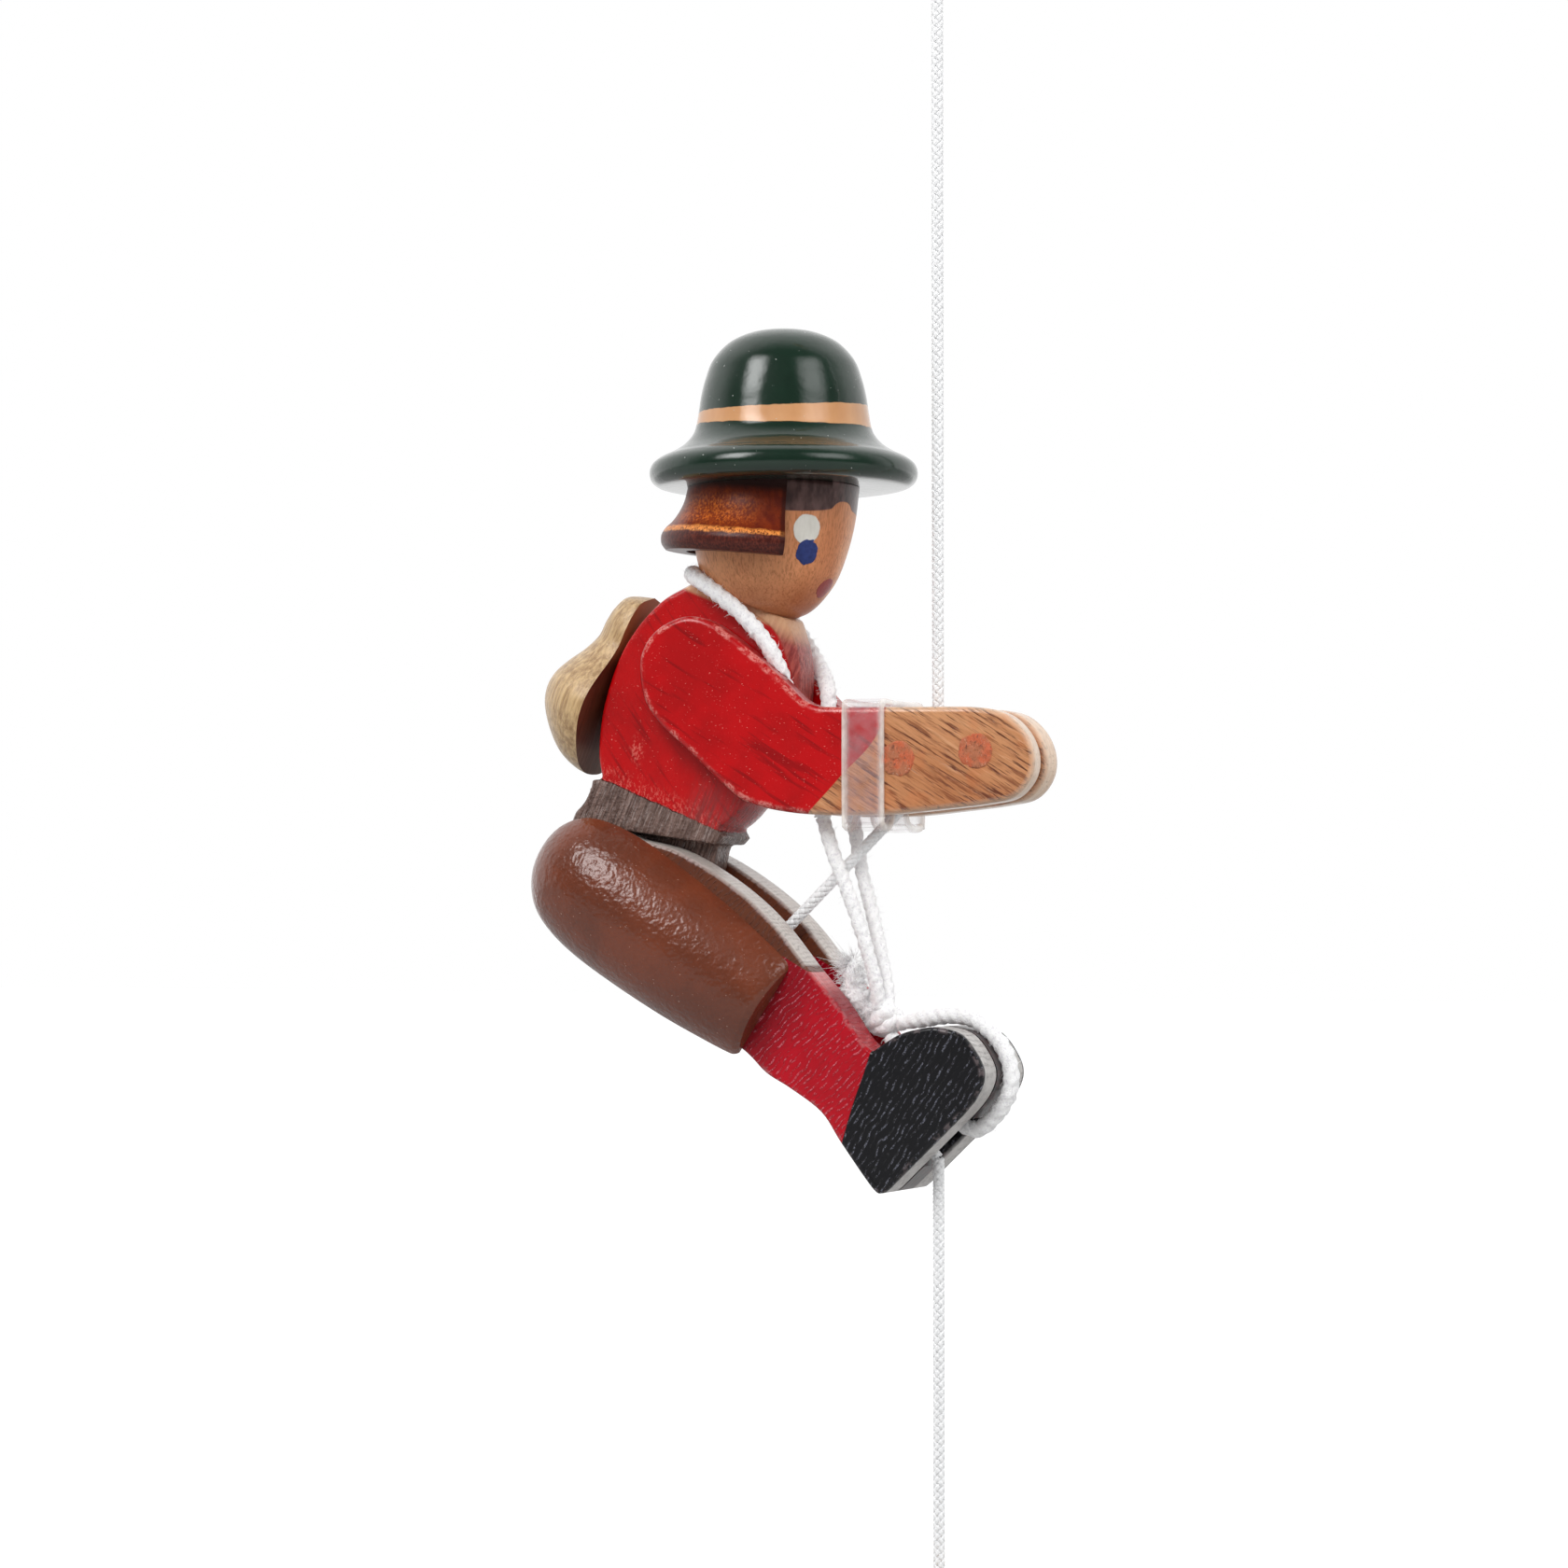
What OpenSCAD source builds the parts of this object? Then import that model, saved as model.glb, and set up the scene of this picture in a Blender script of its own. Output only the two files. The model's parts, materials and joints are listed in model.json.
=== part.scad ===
// Climbing figure toy: a wooden mountaineer on a taut string, in millimetres.
// X points forward, away from the figure's back. Y points to the figure's left. Z points up.
// The origin is the centre of the hanging ring, and the string runs down the Z axis.
// Outlines are side views: pairs of X and Z, in the plane that mirrors the figure.

/* [String] */
// Thickness of the braided climbing string
string_d = 1.8; // [1.4:0.1:2]
// Height from the centre of the rear hand pin up to the centre of the ring
hang_drop = 130; // [112:0.5:150]
// Length from the shoe down to the centre of the pull bead
pull_drop = 68.5; // [55:0.5:120]
// Bore of the hanging ring
ring_bore = 15; // [12:0.5:20]
// Width and depth of the ring's wooden section
ring_stock = 3.4; // [3:0.1:4.5]
// Diameter of the pull bead
bead_d = 15; // [11:0.5:20]

/* [Arms] */
// Thickness of an arm board
arm_t = 4.2; // [3.6:0.1:5]
// Gap between the fingertips
hand_gap = 1.4; // [1.2:0.1:2]
// Angle by which each arm spreads from the middle plane
arm_splay = 5; // [4.6:0.1:5.6]
// Diameter of the two pins through the hands
hand_pin_d = 5; // [4:0.1:5.4]
// Distance from the rear hand pin to the front one
hand_pin_span = 11.4; // [10:0.1:12]
// Width of the clear band round the wrists
band_w = 6.3; // [5:0.1:7]
// Thickness of the clear band
band_t = 0.9; // [0.6:0.1:1.2]

/* [Torso] */
// Forward lean of the torso
torso_lean = 23; // [22:0.5:24]
// Diameter of the chest
chest_d = 29.8; // [29:0.1:30.4]
// Diameter of the waist
waist_d = 22; // [21.4:0.1:22.6]
// Diameter of the dowel that joins torso and head
neck_dowel_d = 5; // [4:0.5:6]
// Diameter of the dowel between the shoulders
shoulder_dowel_d = 4; // [3:0.5:5]
// Greatest radius of the backpack, which is half a turned pear
pack_r = 10.6; // [9.8:0.1:11.2]
// Diameter of the dowel that holds the backpack
pack_dowel_d = 3; // [2.5:0.5:4]

/* [Head] */
// Greatest radius of the head
head_r = 12.1; // [11.5:0.1:12.3]
// Forward tilt of the head
head_tilt = 5.6; // [4.5:0.1:6.5]
// Width of the hair ring's opening for the face
face_angle = 130; // [110:1:140]
// Turn of the face towards the figure's left
face_turn = 7.5; // [4:0.5:12]
// Radius of the hair ring's lower lip
hair_lip_r = 16; // [15:0.1:17]
// Radius of the hat's brim
brim_r = 19.5; // [18.5:0.1:19.8]
// Radius of the hat's crown at the band
crown_r = 12.4; // [11.8:0.1:12.8]
// Diameter of the dowel that holds the hat
hat_dowel_d = 6; // [4:0.5:8]

/* [Legs] */
// Thickness of a leg board
leg_t = 5.5; // [4.5:0.1:6.5]
// Gap between the leg boards
leg_gap = 5; // [4.6:0.1:5.6]
// Play of the hip tongue on each side
tongue_play = 0.15; // [0.1:0.05:0.3]
// Diameter of the hip dowel
hip_dowel_d = 4; // [3:0.5:5]
// Diameter of the peg that the string bends round
peg_d = 3; // [2.5:0.1:3.4]
// How far a thigh stands out from its leg board
thigh_depth = 6; // [5:0.1:6.8]
// Half of the thigh's width where it is glued on
thigh_half = 10.1; // [9.5:0.1:10.6]

/* [Elastic cord] */
// Thickness of the covered elastic cord
elastic_d = 2.7; // [2.3:0.1:2.8]

/* [Fits] */
// Gap between a dowel and its hole, on the radius
dowel_fit = 0.05; // [0.02:0.01:0.08]
// Gap between the hip dowel and the tongue's bore, on the radius
hip_fit = 0.08; // [0.05:0.01:0.1]

/* [Hidden] */

// Places in the side view
hand_pin = [-(hand_pin_d + string_d) / 2, -hang_drop];
fingertip = hand_pin + [19.9, 0];
waist = hand_pin + [-38.7, -5.8];
shoulder = hand_pin + [-33.4, 14.9];
hip = waist + [-7.7, -13];
string_exit = hip + [49.8, -37.6];
peg = hip + [23.8, -10.8];
collar_r = 8.2;
collar_h = 32;
collar_top = waist + collar_h * [sin(torso_lean), cos(torso_lean)];
head_foot = collar_top + [2.2, -3.06];
hat_seat = head_foot + [3.15, 19.3];
pack_foot = waist + [-9.9, 13.5];

arm_inner = hand_gap / 2;
leg_inner = leg_gap / 2;
leg_outer = leg_inner + leg_t;
tongue_half = leg_inner - tongue_play;
pack_lean = 22;
hip_end_r = 9.3;
thigh_angle = 33;
cord_gap = 0.05;
end_gap = 0.1;
end_stub = 0.4;
far = 200;

// Straight and bent stretches of the string round the pin and the peg
bend_r = (hand_pin_d + string_d) / 2 + cord_gap;
peg_bend_r = (peg_d + string_d) / 2 + cord_gap;
string_slope = 42.2;
string_exit_angle = 46;

// The elastic cord's route, chosen by hand for a drop of 123.9: the neck loop, the two strands
// and the toe loop
elastic_lift = 123.9 - hang_drop;
elastic_neck_route = [
    [-17.2, -1.6, -132], [-17.2, -1.6, -130.5], [-17, -1.6, -125.5], [-17.6, -1.9, -119], [-18.6, -2.5, -114.6],
    [-19.6, -3.3, -112.2], [-21.2, -4.3, -110.6], [-22.9, -5, -109], [-25.2, -6.1, -106],
    [-28.9, -7.3, -102], [-33.2, -8.1, -98.7], [-37.4, -5.5, -96.65], [-39.3, 0, -96.15],
    [-37.4, 5.5, -96.65], [-32.6, 8.9, -98.7], [-28, 9.4, -102], [-24.6, 8.3, -106],
    [-21.3, 6.4, -110], [-19.55, 4.4, -112], [-18.5, 2.9, -113.4], [-18, 2.2, -116],
    [-16.9, 1.9, -120], [-15, 1.8, -126], [-14, 1.6, -130.5], [-14, 1.6, -132]
];
elastic_right_route = [
    [-17.2, -1.6, -133.2], [-15.5, -2.35, -138], [-13.2, -2.3, -144.5], [-11.2, -1.9, -151], [-10, -1.5, -157]
];
elastic_left_route = [
    [-14, 1.6, -133.2], [-12.7, 2.35, -138], [-11.1, 2.3, -144.5], [-9.5, 1.9, -151], [-8, 1.5, -157]
];
elastic_toe_route = [
    [-5.2, 0, -161.6], [-2, 0, -160.6], [2, 0, -160], [6, 0, -160.6], [9.4, 0, -163.4],
    [11.2, 0, -167.4], [10.8, 0, -171.2], [8.6, 0, -174.8], [6.4, 0, -176.6],
    [3.4, 0, -174.7], [0, 0, -171.3], [-3.4, 0, -167.9], [-6.6, 0, -164.4]
];
elastic_end_route = [[-11, 0, -160.2], [-13.4, 0, -157.8], [-15.6, 0, -155.2]];
knot_centre = [-8.7, 0, -160.6];

function rounded(a, b, c, d, t) =
    0.5 * (2 * b + (c - a) * t + (2 * a - 5 * b + 4 * c - d) * t * t
    + (3 * b - a - 3 * c + d) * t * t * t);

// A smooth line through the points p, with n steps between neighbours
function curve(p, n) = concat(
    [for (i = [0 : len(p) - 2]) for (k = [0 : n - 1])
        rounded(p[max(i - 1, 0)], p[i], p[i + 1], p[min(i + 2, len(p) - 1)], k / n)],
    [p[len(p) - 1]]
);

// A smooth closed line through the points p
function ring_curve(p, n) = [
    for (i = [0 : len(p) - 1]) for (k = [0 : n - 1])
        rounded(p[(i + len(p) - 1) % len(p)], p[i], p[(i + 1) % len(p)],
            p[(i + 2) % len(p)], k / n)
];

function arc(centre, r, from, to, n) = [
    for (k = [0 : n]) centre + r * [cos(from + (to - from) * k / n), sin(from + (to - from) * k / n)]
];

function shifted(p, by) = [for (q = p) q + by];

function unit(v) = v / norm(v);

// The side vectors of a tube's rings, each turned as little as possible from the last
function tangent(p, i) = unit(p[min(i + 1, len(p) - 1)] - p[max(i - 1, 0)]);
function sides_of(p, i = 0, last = [0, 1, 0]) =
    i == len(p) ? [] :
    let (t = tangent(p, i), s = unit(last - (last * t) * t))
    concat([s], sides_of(p, i + 1, s));

// A round tube of diameter d along the points p, with n sides, as one closed surface
module tube(p, d, n = 8) {
    s = sides_of(p);
    rings = [for (i = [0 : len(p) - 1]) let (t = tangent(p, i), u = s[i], v = cross(t, u))
        for (k = [0 : n - 1]) p[i] + d / 2 * (cos(360 * k / n) * u + sin(360 * k / n) * v)];
    walls = [for (i = [0 : len(p) - 2]) for (k = [0 : n - 1])
        let (a = i * n + k, b = i * n + (k + 1) % n)
        each [[b + n, b, a], [a + n, b + n, a]]];
    first_cap = [for (k = [0 : n - 1]) k];
    last_cap = [for (k = [n - 1 : -1 : 0]) (len(p) - 1) * n + k];
    polyhedron(points = rings, faces = concat(walls, [first_cap, last_cap]), convexity = 8);
}

// A board cut to an outline of the side view, from y down to y - t
module board(outline, y, t) {
    translate([0, y, 0]) rotate([90, 0, 0]) linear_extrude(t) polygon(outline);
}

// A dowel across the figure at a place of the side view
module cross_dowel(place, d, length, y = 0) {
    translate([place[0], y, place[1]]) rotate([90, 0, 0]) cylinder(d = d, h = length, center = true, $fn = 48);
}

module in_side_view(place, lean = 0) {
    translate([place[0], 0, place[1]]) rotate([0, lean, 0]) children();
}

// Turns about the fingertips, so that a flat arm spreads from the middle plane
module splayed() {
    translate([fingertip[0], -arm_inner, 0]) rotate([0, 0, arm_splay])
        translate([-fingertip[0], arm_inner, 0]) children();
}

// The wedge between the inner faces of the two arms
module between_arms(extra = 0) {
    reach = 80;
    narrow = arm_inner + extra;
    wide = narrow + reach * tan(arm_splay);
    translate([fingertip[0], 0, -far]) linear_extrude(far)
        polygon([[0, -narrow], [0, narrow], [-reach, wide], [-reach, -wide]]);
}

// The chest's front edges are chamfered, which leaves room for the elastic cord
module chest_chamfers() {
    for (side = [-1, 1])
        translate([waist[0] + 16.6, 0, -far]) linear_extrude(far)
            polygon([[0, side * 4.4], [8, side * 1.5], [8, side * 9], [0, side * 9]]);
}

module left_side() {
    mirror([0, 1, 0]) children();
}

// The hanging ring is flat on its bore and has an eye below it for the string
ring_centre_r = ring_bore / 2 + ring_stock / 2;
eye_hole_r = string_d / 2 + 0.7;
eye_wall = 1.7;
eye_depth = ring_stock - 0.8;
eye_z = -(ring_bore / 2 + eye_hole_r + eye_wall + 0.05);

module hanging_ring() {
    color("burlywood") difference() {
        union() {
            rotate([90, 0, 0]) rotate_extrude($fn = 96) intersection() {
                translate([ring_centre_r + 0.1, 0]) circle(d = ring_stock + 0.4, $fn = 40);
                translate([ring_bore / 2, -ring_stock]) square([ring_stock, 2 * ring_stock]);
            }
            cross_dowel([0, eye_z], 2 * (eye_hole_r + eye_wall), eye_depth);
        }
        cross_dowel([0, eye_z], 2 * eye_hole_r, 2 * ring_stock);
    }
}

// The string's loop through the eye, and its knot
knot_d = 2.2 * string_d;
loop_z = eye_z - eye_hole_r - eye_wall / 2;
loop_r = norm([eye_wall, eye_depth]) / 2 + 0.1 + string_d / 2;
knot_low = loop_z - loop_r - string_d / 2 - knot_d + 0.8;

module ring_knot() {
    color("white") union() {
        translate([0, 0, loop_z]) rotate([0, 90, 0]) rotate_extrude($fn = 48)
            translate([loop_r, 0]) circle(d = string_d, $fn = 20);
        translate([0, 0, knot_low]) rotate_extrude($fn = 32)
            polygon(concat([[0, 0]], curve([[string_d / 2, 0], [knot_d * 0.42, knot_d * 0.2],
                [knot_d / 2, knot_d / 2], [knot_d * 0.36, knot_d * 0.86]], 4), [[0, knot_d]]));
    }
}

// The upper string ends above the rear hand pin, where the bent stretch takes over
bend_top = hand_pin[1] + 4;

module string_upper() {
    color("white") translate([0, 0, bend_top + end_gap])
        cylinder(d = string_d, h = knot_low - bend_top - end_gap, $fn = 24);
}

// The string passes in front of the rear hand pin and bends under it
string_fall = -(90 - string_slope);
bend_end = hand_pin + bend_r * [cos(string_fall), sin(string_fall)];
diagonal_dir = [-cos(string_slope), -sin(string_slope)];

module string_hand() {
    line = concat([[0, bend_top], [hand_pin[0] + bend_r, hand_pin[1]]],
        arc(hand_pin, bend_r, string_fall / 3, string_fall, 2), [bend_end + end_stub * diagonal_dir]);
    color("white") tube([for (q = line) [q[0], 0, q[1]]], string_d);
}

// The diagonal string meets the peg in the thighs
peg_in_angle = 90 + string_slope;
peg_bend_start = peg + peg_bend_r * [cos(peg_in_angle), sin(peg_in_angle)];
diagonal_trim = (end_stub + end_gap) * diagonal_dir;
diagonal_start = bend_end + diagonal_trim;
diagonal_end = peg_bend_start - diagonal_trim;

module string_diagonal() {
    line = [for (k = [0 : 6]) diagonal_start + (diagonal_end - diagonal_start) * k / 6];
    color("white") tube([for (q = line) [q[0], 0, q[1]]], string_d);
}

// Round the back of the peg, then straight to the sole and out
exit_run = string_exit - peg;
exit_angle = atan2(exit_run[1], exit_run[0]) - asin(peg_bend_r / norm(exit_run));
peg_out_angle = exit_angle + 270;
peg_bend_end = peg + peg_bend_r * [cos(peg_out_angle), sin(peg_out_angle)];
exit_bend = string_exit + [-1.2, 1.1];
foot_stub = 4;

module string_legs() {
    line = concat(
        [peg_bend_start - end_stub * diagonal_dir],
        arc(peg, peg_bend_r, peg_in_angle, peg_out_angle, 4),
        [for (k = [1 : 4]) peg_bend_end + (exit_bend - peg_bend_end) * k / 4],
        [string_exit + [-0.2, 0]]
    );
    color("white") tube([for (q = line) [q[0], 0, q[1]]], string_d);
}

module string_foot() {
    color("white") translate([string_exit[0], 0, string_exit[1] - foot_stub])
        cylinder(d = string_d, h = foot_stub - 0.9, $fn = 24);
}

// The lower string runs through the bead to its knot
bead_centre = string_exit[1] - pull_drop;
bead_bore = string_d + 0.6;

module string_lower() {
    low = bead_centre - bead_d / 2 - 0.5;
    color("white") translate([string_exit[0], 0, low])
        cylinder(d = string_d, h = string_exit[1] - foot_stub - low, $fn = 24);
}

module pull_bead() {
    color("burlywood") translate([string_exit[0], 0, bead_centre]) difference() {
        sphere(d = bead_d, $fn = 64);
        cylinder(d = bead_bore, h = 2 * bead_d, center = true, $fn = 32);
    }
}

module bead_knot() {
    knot_h = 2.2 * string_d;
    color("white") translate([string_exit[0], 0, bead_centre - bead_d / 2 - 0.5 - knot_h])
        rotate_extrude($fn = 32) polygon(concat([[0, 0]], curve([[string_d / 2, 0],
            [knot_d * 0.45, knot_h * 0.25], [knot_d / 2, knot_h * 0.6], [knot_d * 0.3, knot_h]], 4),
            [[0, knot_h]]));
}

// The hat is turned in one piece; radii of the crown and the brim drive its curve
hat_h = 23;
crown_curve = [
    [0, hat_h], [2.7, hat_h - 0.1], [5.5, hat_h - 0.7], [8.2, hat_h - 2.1],
    [crown_r - 2.05, hat_h - 4.5], [crown_r - 1, hat_h - 7.2], [crown_r - 0.4, hat_h - 9.6],
    [crown_r, hat_h - 12.2], [crown_r + 0.4, hat_h - 14.3], [crown_r + 1, 7.4],
    [crown_r + 2.2, 6.1], [brim_r - 3.2, 5], [brim_r - 1.5, 4.2], [brim_r - 0.4, 3.3],
    [brim_r, 2.1], [brim_r - 0.3, 0.95], [brim_r - 1.2, 0.2], [brim_r - 2.4, 0]
];
hat_dowel_up = 11;
hat_dowel_down = 9;

module hat() {
    color("darkgreen") in_side_view(hat_seat) difference() {
        rotate_extrude($fn = 96) polygon(concat([[0, 0]], curve(crown_curve, 3)));
        translate([0, 0, -1]) cylinder(d = hat_dowel_d + 2 * dowel_fit, h = hat_dowel_up + 1.3, $fn = 48);
    }
}

module hat_dowel() {
    color("burlywood") in_side_view(hat_seat) translate([0, 0, -hat_dowel_down])
        cylinder(d = hat_dowel_d, h = hat_dowel_up + hat_dowel_down, $fn = 48);
}

// The head is an egg, cut level under the hat and cut along the collar below
head_h = 23;
head_curve = [
    [0, 0], [3, 0.3], [5, 1], [6.9, 2.2], [head_r - 3.4, 4.4], [head_r - 1.9, 7.2],
    [head_r - 0.85, 11], [head_r - 0.2, 15], [head_r, 19], [head_r, head_h]
];

module below_hat() {
    translate([-far / 2, -far / 2, hat_seat[1] - far]) cube(far);
}

module above_collar() {
    in_side_view(waist, torso_lean) translate([-far / 2, -far / 2, collar_h]) cube(far);
}

module neck_hole() {
    in_side_view(waist, torso_lean) translate([0, 0, collar_h - neck_dowel_half - 0.2])
        cylinder(d = neck_dowel_d + 2 * dowel_fit, h = 2 * neck_dowel_half + 0.4, $fn = 48);
}

neck_dowel_half = 7;

module head() {
    color("tan") difference() {
        intersection() {
            in_side_view(head_foot, head_tilt) rotate_extrude($fn = 96)
                polygon(concat(curve(head_curve, 3), [[0, head_h]]));
            below_hat();
            above_collar();
        }
        neck_hole();
        in_side_view(hat_seat) translate([0, 0, -hat_dowel_down - 0.2])
            cylinder(d = hat_dowel_d + 2 * dowel_fit, h = 2 * hat_dowel_down, $fn = 48);
    }
}

// The hair is a flared ring with a sector cut out for the face
hair_bore_r = head_r + 0.08;
hair_top_r = head_r + 0.6;
hair_low = 9.1;
hair_h = 14;
hair_curve = [
    [hair_lip_r - 0.8, hair_low], [hair_lip_r - 0.15, hair_low + 0.8], [hair_lip_r, hair_low + 2],
    [hair_lip_r - 0.5, hair_low + 3.1], [hair_lip_r - 1.4, hair_low + 4.1],
    [hair_top_r + 1.1, hair_low + 5.4], [hair_top_r + 0.45, hair_low + 7],
    [hair_top_r + 0.1, hair_low + 9], [hair_top_r, hair_low + 11], [hair_top_r, hair_low + hair_h]
];

module hair() {
    color("saddlebrown") intersection() {
        in_side_view(head_foot, head_tilt) rotate([0, 0, face_turn + face_angle / 2])
            rotate_extrude(angle = 360 - face_angle, $fn = 96)
                polygon(concat([[hair_bore_r, hair_low]], curve(hair_curve, 3),
                    [[hair_bore_r, hair_low + hair_h]]));
        below_hat();
    }
}

module neck_dowel() {
    color("burlywood") in_side_view(waist, torso_lean) translate([0, 0, collar_h - neck_dowel_half])
        cylinder(d = neck_dowel_d, h = 2 * neck_dowel_half, $fn = 48);
}

// The torso is turned, then cut flat for the arms and the backpack; the pelvis and the
// tongue between the legs are shaped on the same piece
chest_r = chest_d / 2;
waist_r = waist_d / 2;
torso_curve = [
    [waist_r, 0], [waist_r + 1.7, 3], [chest_r - 0.6, 8.5], [chest_r, 14], [chest_r - 0.1, 18.5],
    [chest_r - 0.9, 22.5], [chest_r - 2, 25.5], [chest_r - 3.3, 28], [collar_r + 1.6, 30.2],
    [collar_r, collar_h]
];
pelvis_outline = concat(
    curve([[-10, 3.6], [-10.5, 1.7], [-11.9, -0.5], [-14.9, -2.4]], 3),
    [[9.2, -6.1], [10.3, -5], [9.3, -3.4], [6, 2]]
);
tongue_outline = concat(
    [[8.9, -4]],
    curve([[7.6, -9.6], [5, -15.4], [-0.8, -19.6], [-7.4, -21.3], [-13.2, -18.7], [-15.9, -13],
        [-14.6, -6.5]], 4),
    [[-11, -1]]
);

module turned_torso() {
    in_side_view(waist, torso_lean) rotate_extrude($fn = 96)
        polygon(concat([[0, 0]], curve(torso_curve, 3), [[0, collar_h]]));
}

pelvis_drop = 20;
pelvis_rise = 10;

module pelvis() {
    intersection() {
        board(shifted(pelvis_outline, waist), chest_r, chest_d);
        in_side_view(waist, torso_lean) translate([0, 0, -pelvis_drop])
            cylinder(r = waist_r + 2, h = pelvis_drop + pelvis_rise, $fn = 96);
    }
}

module behind_pack_plane() {
    in_side_view(pack_foot, pack_lean) translate([-far, -far / 2, -far / 2]) cube(far);
}

module torso() {
    color("firebrick") difference() {
        union() {
            intersection() {
                union() {
                    turned_torso();
                    pelvis();
                }
                between_arms();
            }
            board(shifted(tongue_outline, waist), tongue_half, 2 * tongue_half);
        }
        chest_chamfers();
        intersection() {
            behind_pack_plane();
            translate([-far / 2, -far / 2, waist[1] + 4]) cube(far);
        }
        cross_dowel(hip, hip_dowel_d + 2 * hip_fit, 40);
        cross_dowel(shoulder, shoulder_dowel_d + 2 * dowel_fit, 40);
        neck_hole();
        pack_dowel_hole();
    }
}

// The backpack is half a turned pear with its flat face to the back
pack_curve = [
    [0, -9.7], [pack_r - 8, -9.4], [pack_r - 5, -7.9], [pack_r - 2.5, -5.3], [pack_r - 0.6, -2.2],
    [pack_r, 0.4], [pack_r - 0.4, 2.8], [pack_r - 1.7, 5.2], [pack_r - 3.4, 7.6], [pack_r - 4.7, 10.2],
    [pack_r - 5, 12.6], [pack_r - 5.6, 15], [pack_r - 7, 17.1], [0, 18.2]
];
pack_dowel_h = 6.5;
pack_dowel_out = 4;
pack_dowel_in = 6;

module pack_dowel_hole() {
    in_side_view(pack_foot, pack_lean) translate([-pack_dowel_out - 0.2, 0, pack_dowel_h]) rotate([0, 90, 0])
        cylinder(d = pack_dowel_d + 2 * dowel_fit, h = pack_dowel_out + pack_dowel_in + 0.4, $fn = 48);
}

module backpack() {
    color("darkgoldenrod") difference() {
        in_side_view(pack_foot, pack_lean) rotate([0, 0, 90]) rotate_extrude(angle = 180, $fn = 96)
            polygon(curve(pack_curve, 3));
        pack_dowel_hole();
    }
}

module backpack_dowel() {
    color("burlywood") in_side_view(pack_foot, pack_lean) translate([-pack_dowel_out, 0, pack_dowel_h])
        rotate([0, 90, 0]) cylinder(d = pack_dowel_d, h = pack_dowel_out + pack_dowel_in, $fn = 48);
}

// An arm is one flat board: shoulder, forearm and hand
arm_outline = [
    [-32.4, 21], [-35.5, 20.2], [-38, 18.5], [-39.6, 15.9], [-39.9, 12.9], [-39.2, 9.2], [-37, 5.8],
    [-32.7, 1.9], [-25.5, -4.6], [-22.5, -6.2], [-18.4, -7.2], [-12.8, -7.8], [-3, -7.9], [6, -7.2],
    [12.6, -6.5], [16.6, -5.6], [19, -3], [19.5, 0.2], [18.2, 3.5], [15.3, 6.1], [11, 7.1],
    [3, 7.3], [-9.3, 7.5], [-12.5, 7.7], [-14.9, 8.8], [-18.4, 12.1], [-25.2, 17.7], [-29, 20.2]
];
shoulder_dowel_half = 8;

module arm() {
    difference() {
        splayed() board(shifted(ring_curve(arm_outline, 3), hand_pin), -arm_inner, arm_t);
        for (k = [0, 1])
            cross_dowel(hand_pin + [hand_pin_span * k, 0.9 * k], hand_pin_d + 2 * dowel_fit, 60);
        cross_dowel(shoulder, shoulder_dowel_d + 2 * dowel_fit, 2 * shoulder_dowel_half + 0.4);
    }
}

module arm_right() {
    color("red") arm();
}

module arm_left() {
    color("red") left_side() arm();
}

module shoulder_dowel() {
    color("burlywood") cross_dowel(shoulder, shoulder_dowel_d, 2 * shoulder_dowel_half);
}

// Each hand pin ends flush with the hands' outer faces
module hand_pin_at(step) {
    place = hand_pin + [hand_pin_span * step, 0.9 * step];
    color("peru") intersection() {
        cross_dowel(place, hand_pin_d, 60);
        between_arms(arm_t / cos(arm_splay));
    }
}

module hand_pin_rear() {
    hand_pin_at(0);
}

module hand_pin_front() {
    hand_pin_at(1);
}

// The clear band hugs both wrists; the string lifts its lower side between the hands.
// Its section is drawn square to the right arm and ends beyond the middle plane.
band_front = hand_pin[0] - 2.3;
band_top = hand_pin[1] + 7.7;
band_low = hand_pin[1] - 9.3;
band_lift = hand_pin[1] - 4.3;
band_side = arm_inner + arm_t + cord_gap;
band_end = 4.5;
band_overlap = 0.3;

module band_half() {
    outer = band_side + band_t;
    inside = [[band_end, band_top - 0.3], [-band_side + 1.2, band_top], [-band_side + 0.3, band_top - 0.5],
        [-band_side, band_top - 1.6], [-band_side, band_low + 1.6], [-band_side + 0.4, band_low + 0.4],
        [-band_side + 1.3, band_low], [-1.5, band_low + 0.5], [-0.5, band_low + 1.5],
        [-0.3, band_lift - 1.5], [0.8, band_lift], [band_end, band_lift + 0.1]];
    outside = [[band_end, band_top - 0.3 + band_t], [-outer + 1.6, band_top + band_t],
        [-outer + 0.4, band_top + band_t - 0.6], [-outer, band_top - 1.2], [-outer, band_low + 1.2],
        [-outer + 0.5, band_low - band_t + 0.5], [-outer + 1.8, band_low - band_t],
        [-2.2, band_low - band_t + 0.1], [0, band_low + 0.3], [0.4, band_low + 1.6],
        [0.6, band_lift - 1.8], [1.3, band_lift - band_t - 0.1], [band_end, band_lift + 0.1 - band_t]];
    line_in = curve(inside, 3);
    line_out = curve(outside, 3);
    intersection() {
        splayed() translate([band_front - band_w, 0, 0]) rotate([90, 0, 90]) linear_extrude(band_w)
            polygon(concat(line_out, [for (i = [len(line_in) - 1 : -1 : 0]) line_in[i]]));
        translate([-far / 2, band_overlap - far, -far]) cube(far);
    }
}

module wrist_band() {
    color("gainsboro") union() {
        band_half();
        left_side() band_half();
    }
}

// The elastic cord hangs round the neck and runs down between the arms
module elastic_neck() {
    color("snow") translate([0, 0, elastic_lift]) tube(elastic_neck_route, elastic_d);
}

// A strand starts straight down, face to face with the neck loop's end
module elastic_strand(route) {
    start = route[0] + [0, 0, 1.1];
    translate([0, 0, elastic_lift]) tube(concat([start], curve(route, 2)), elastic_d);
}

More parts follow.
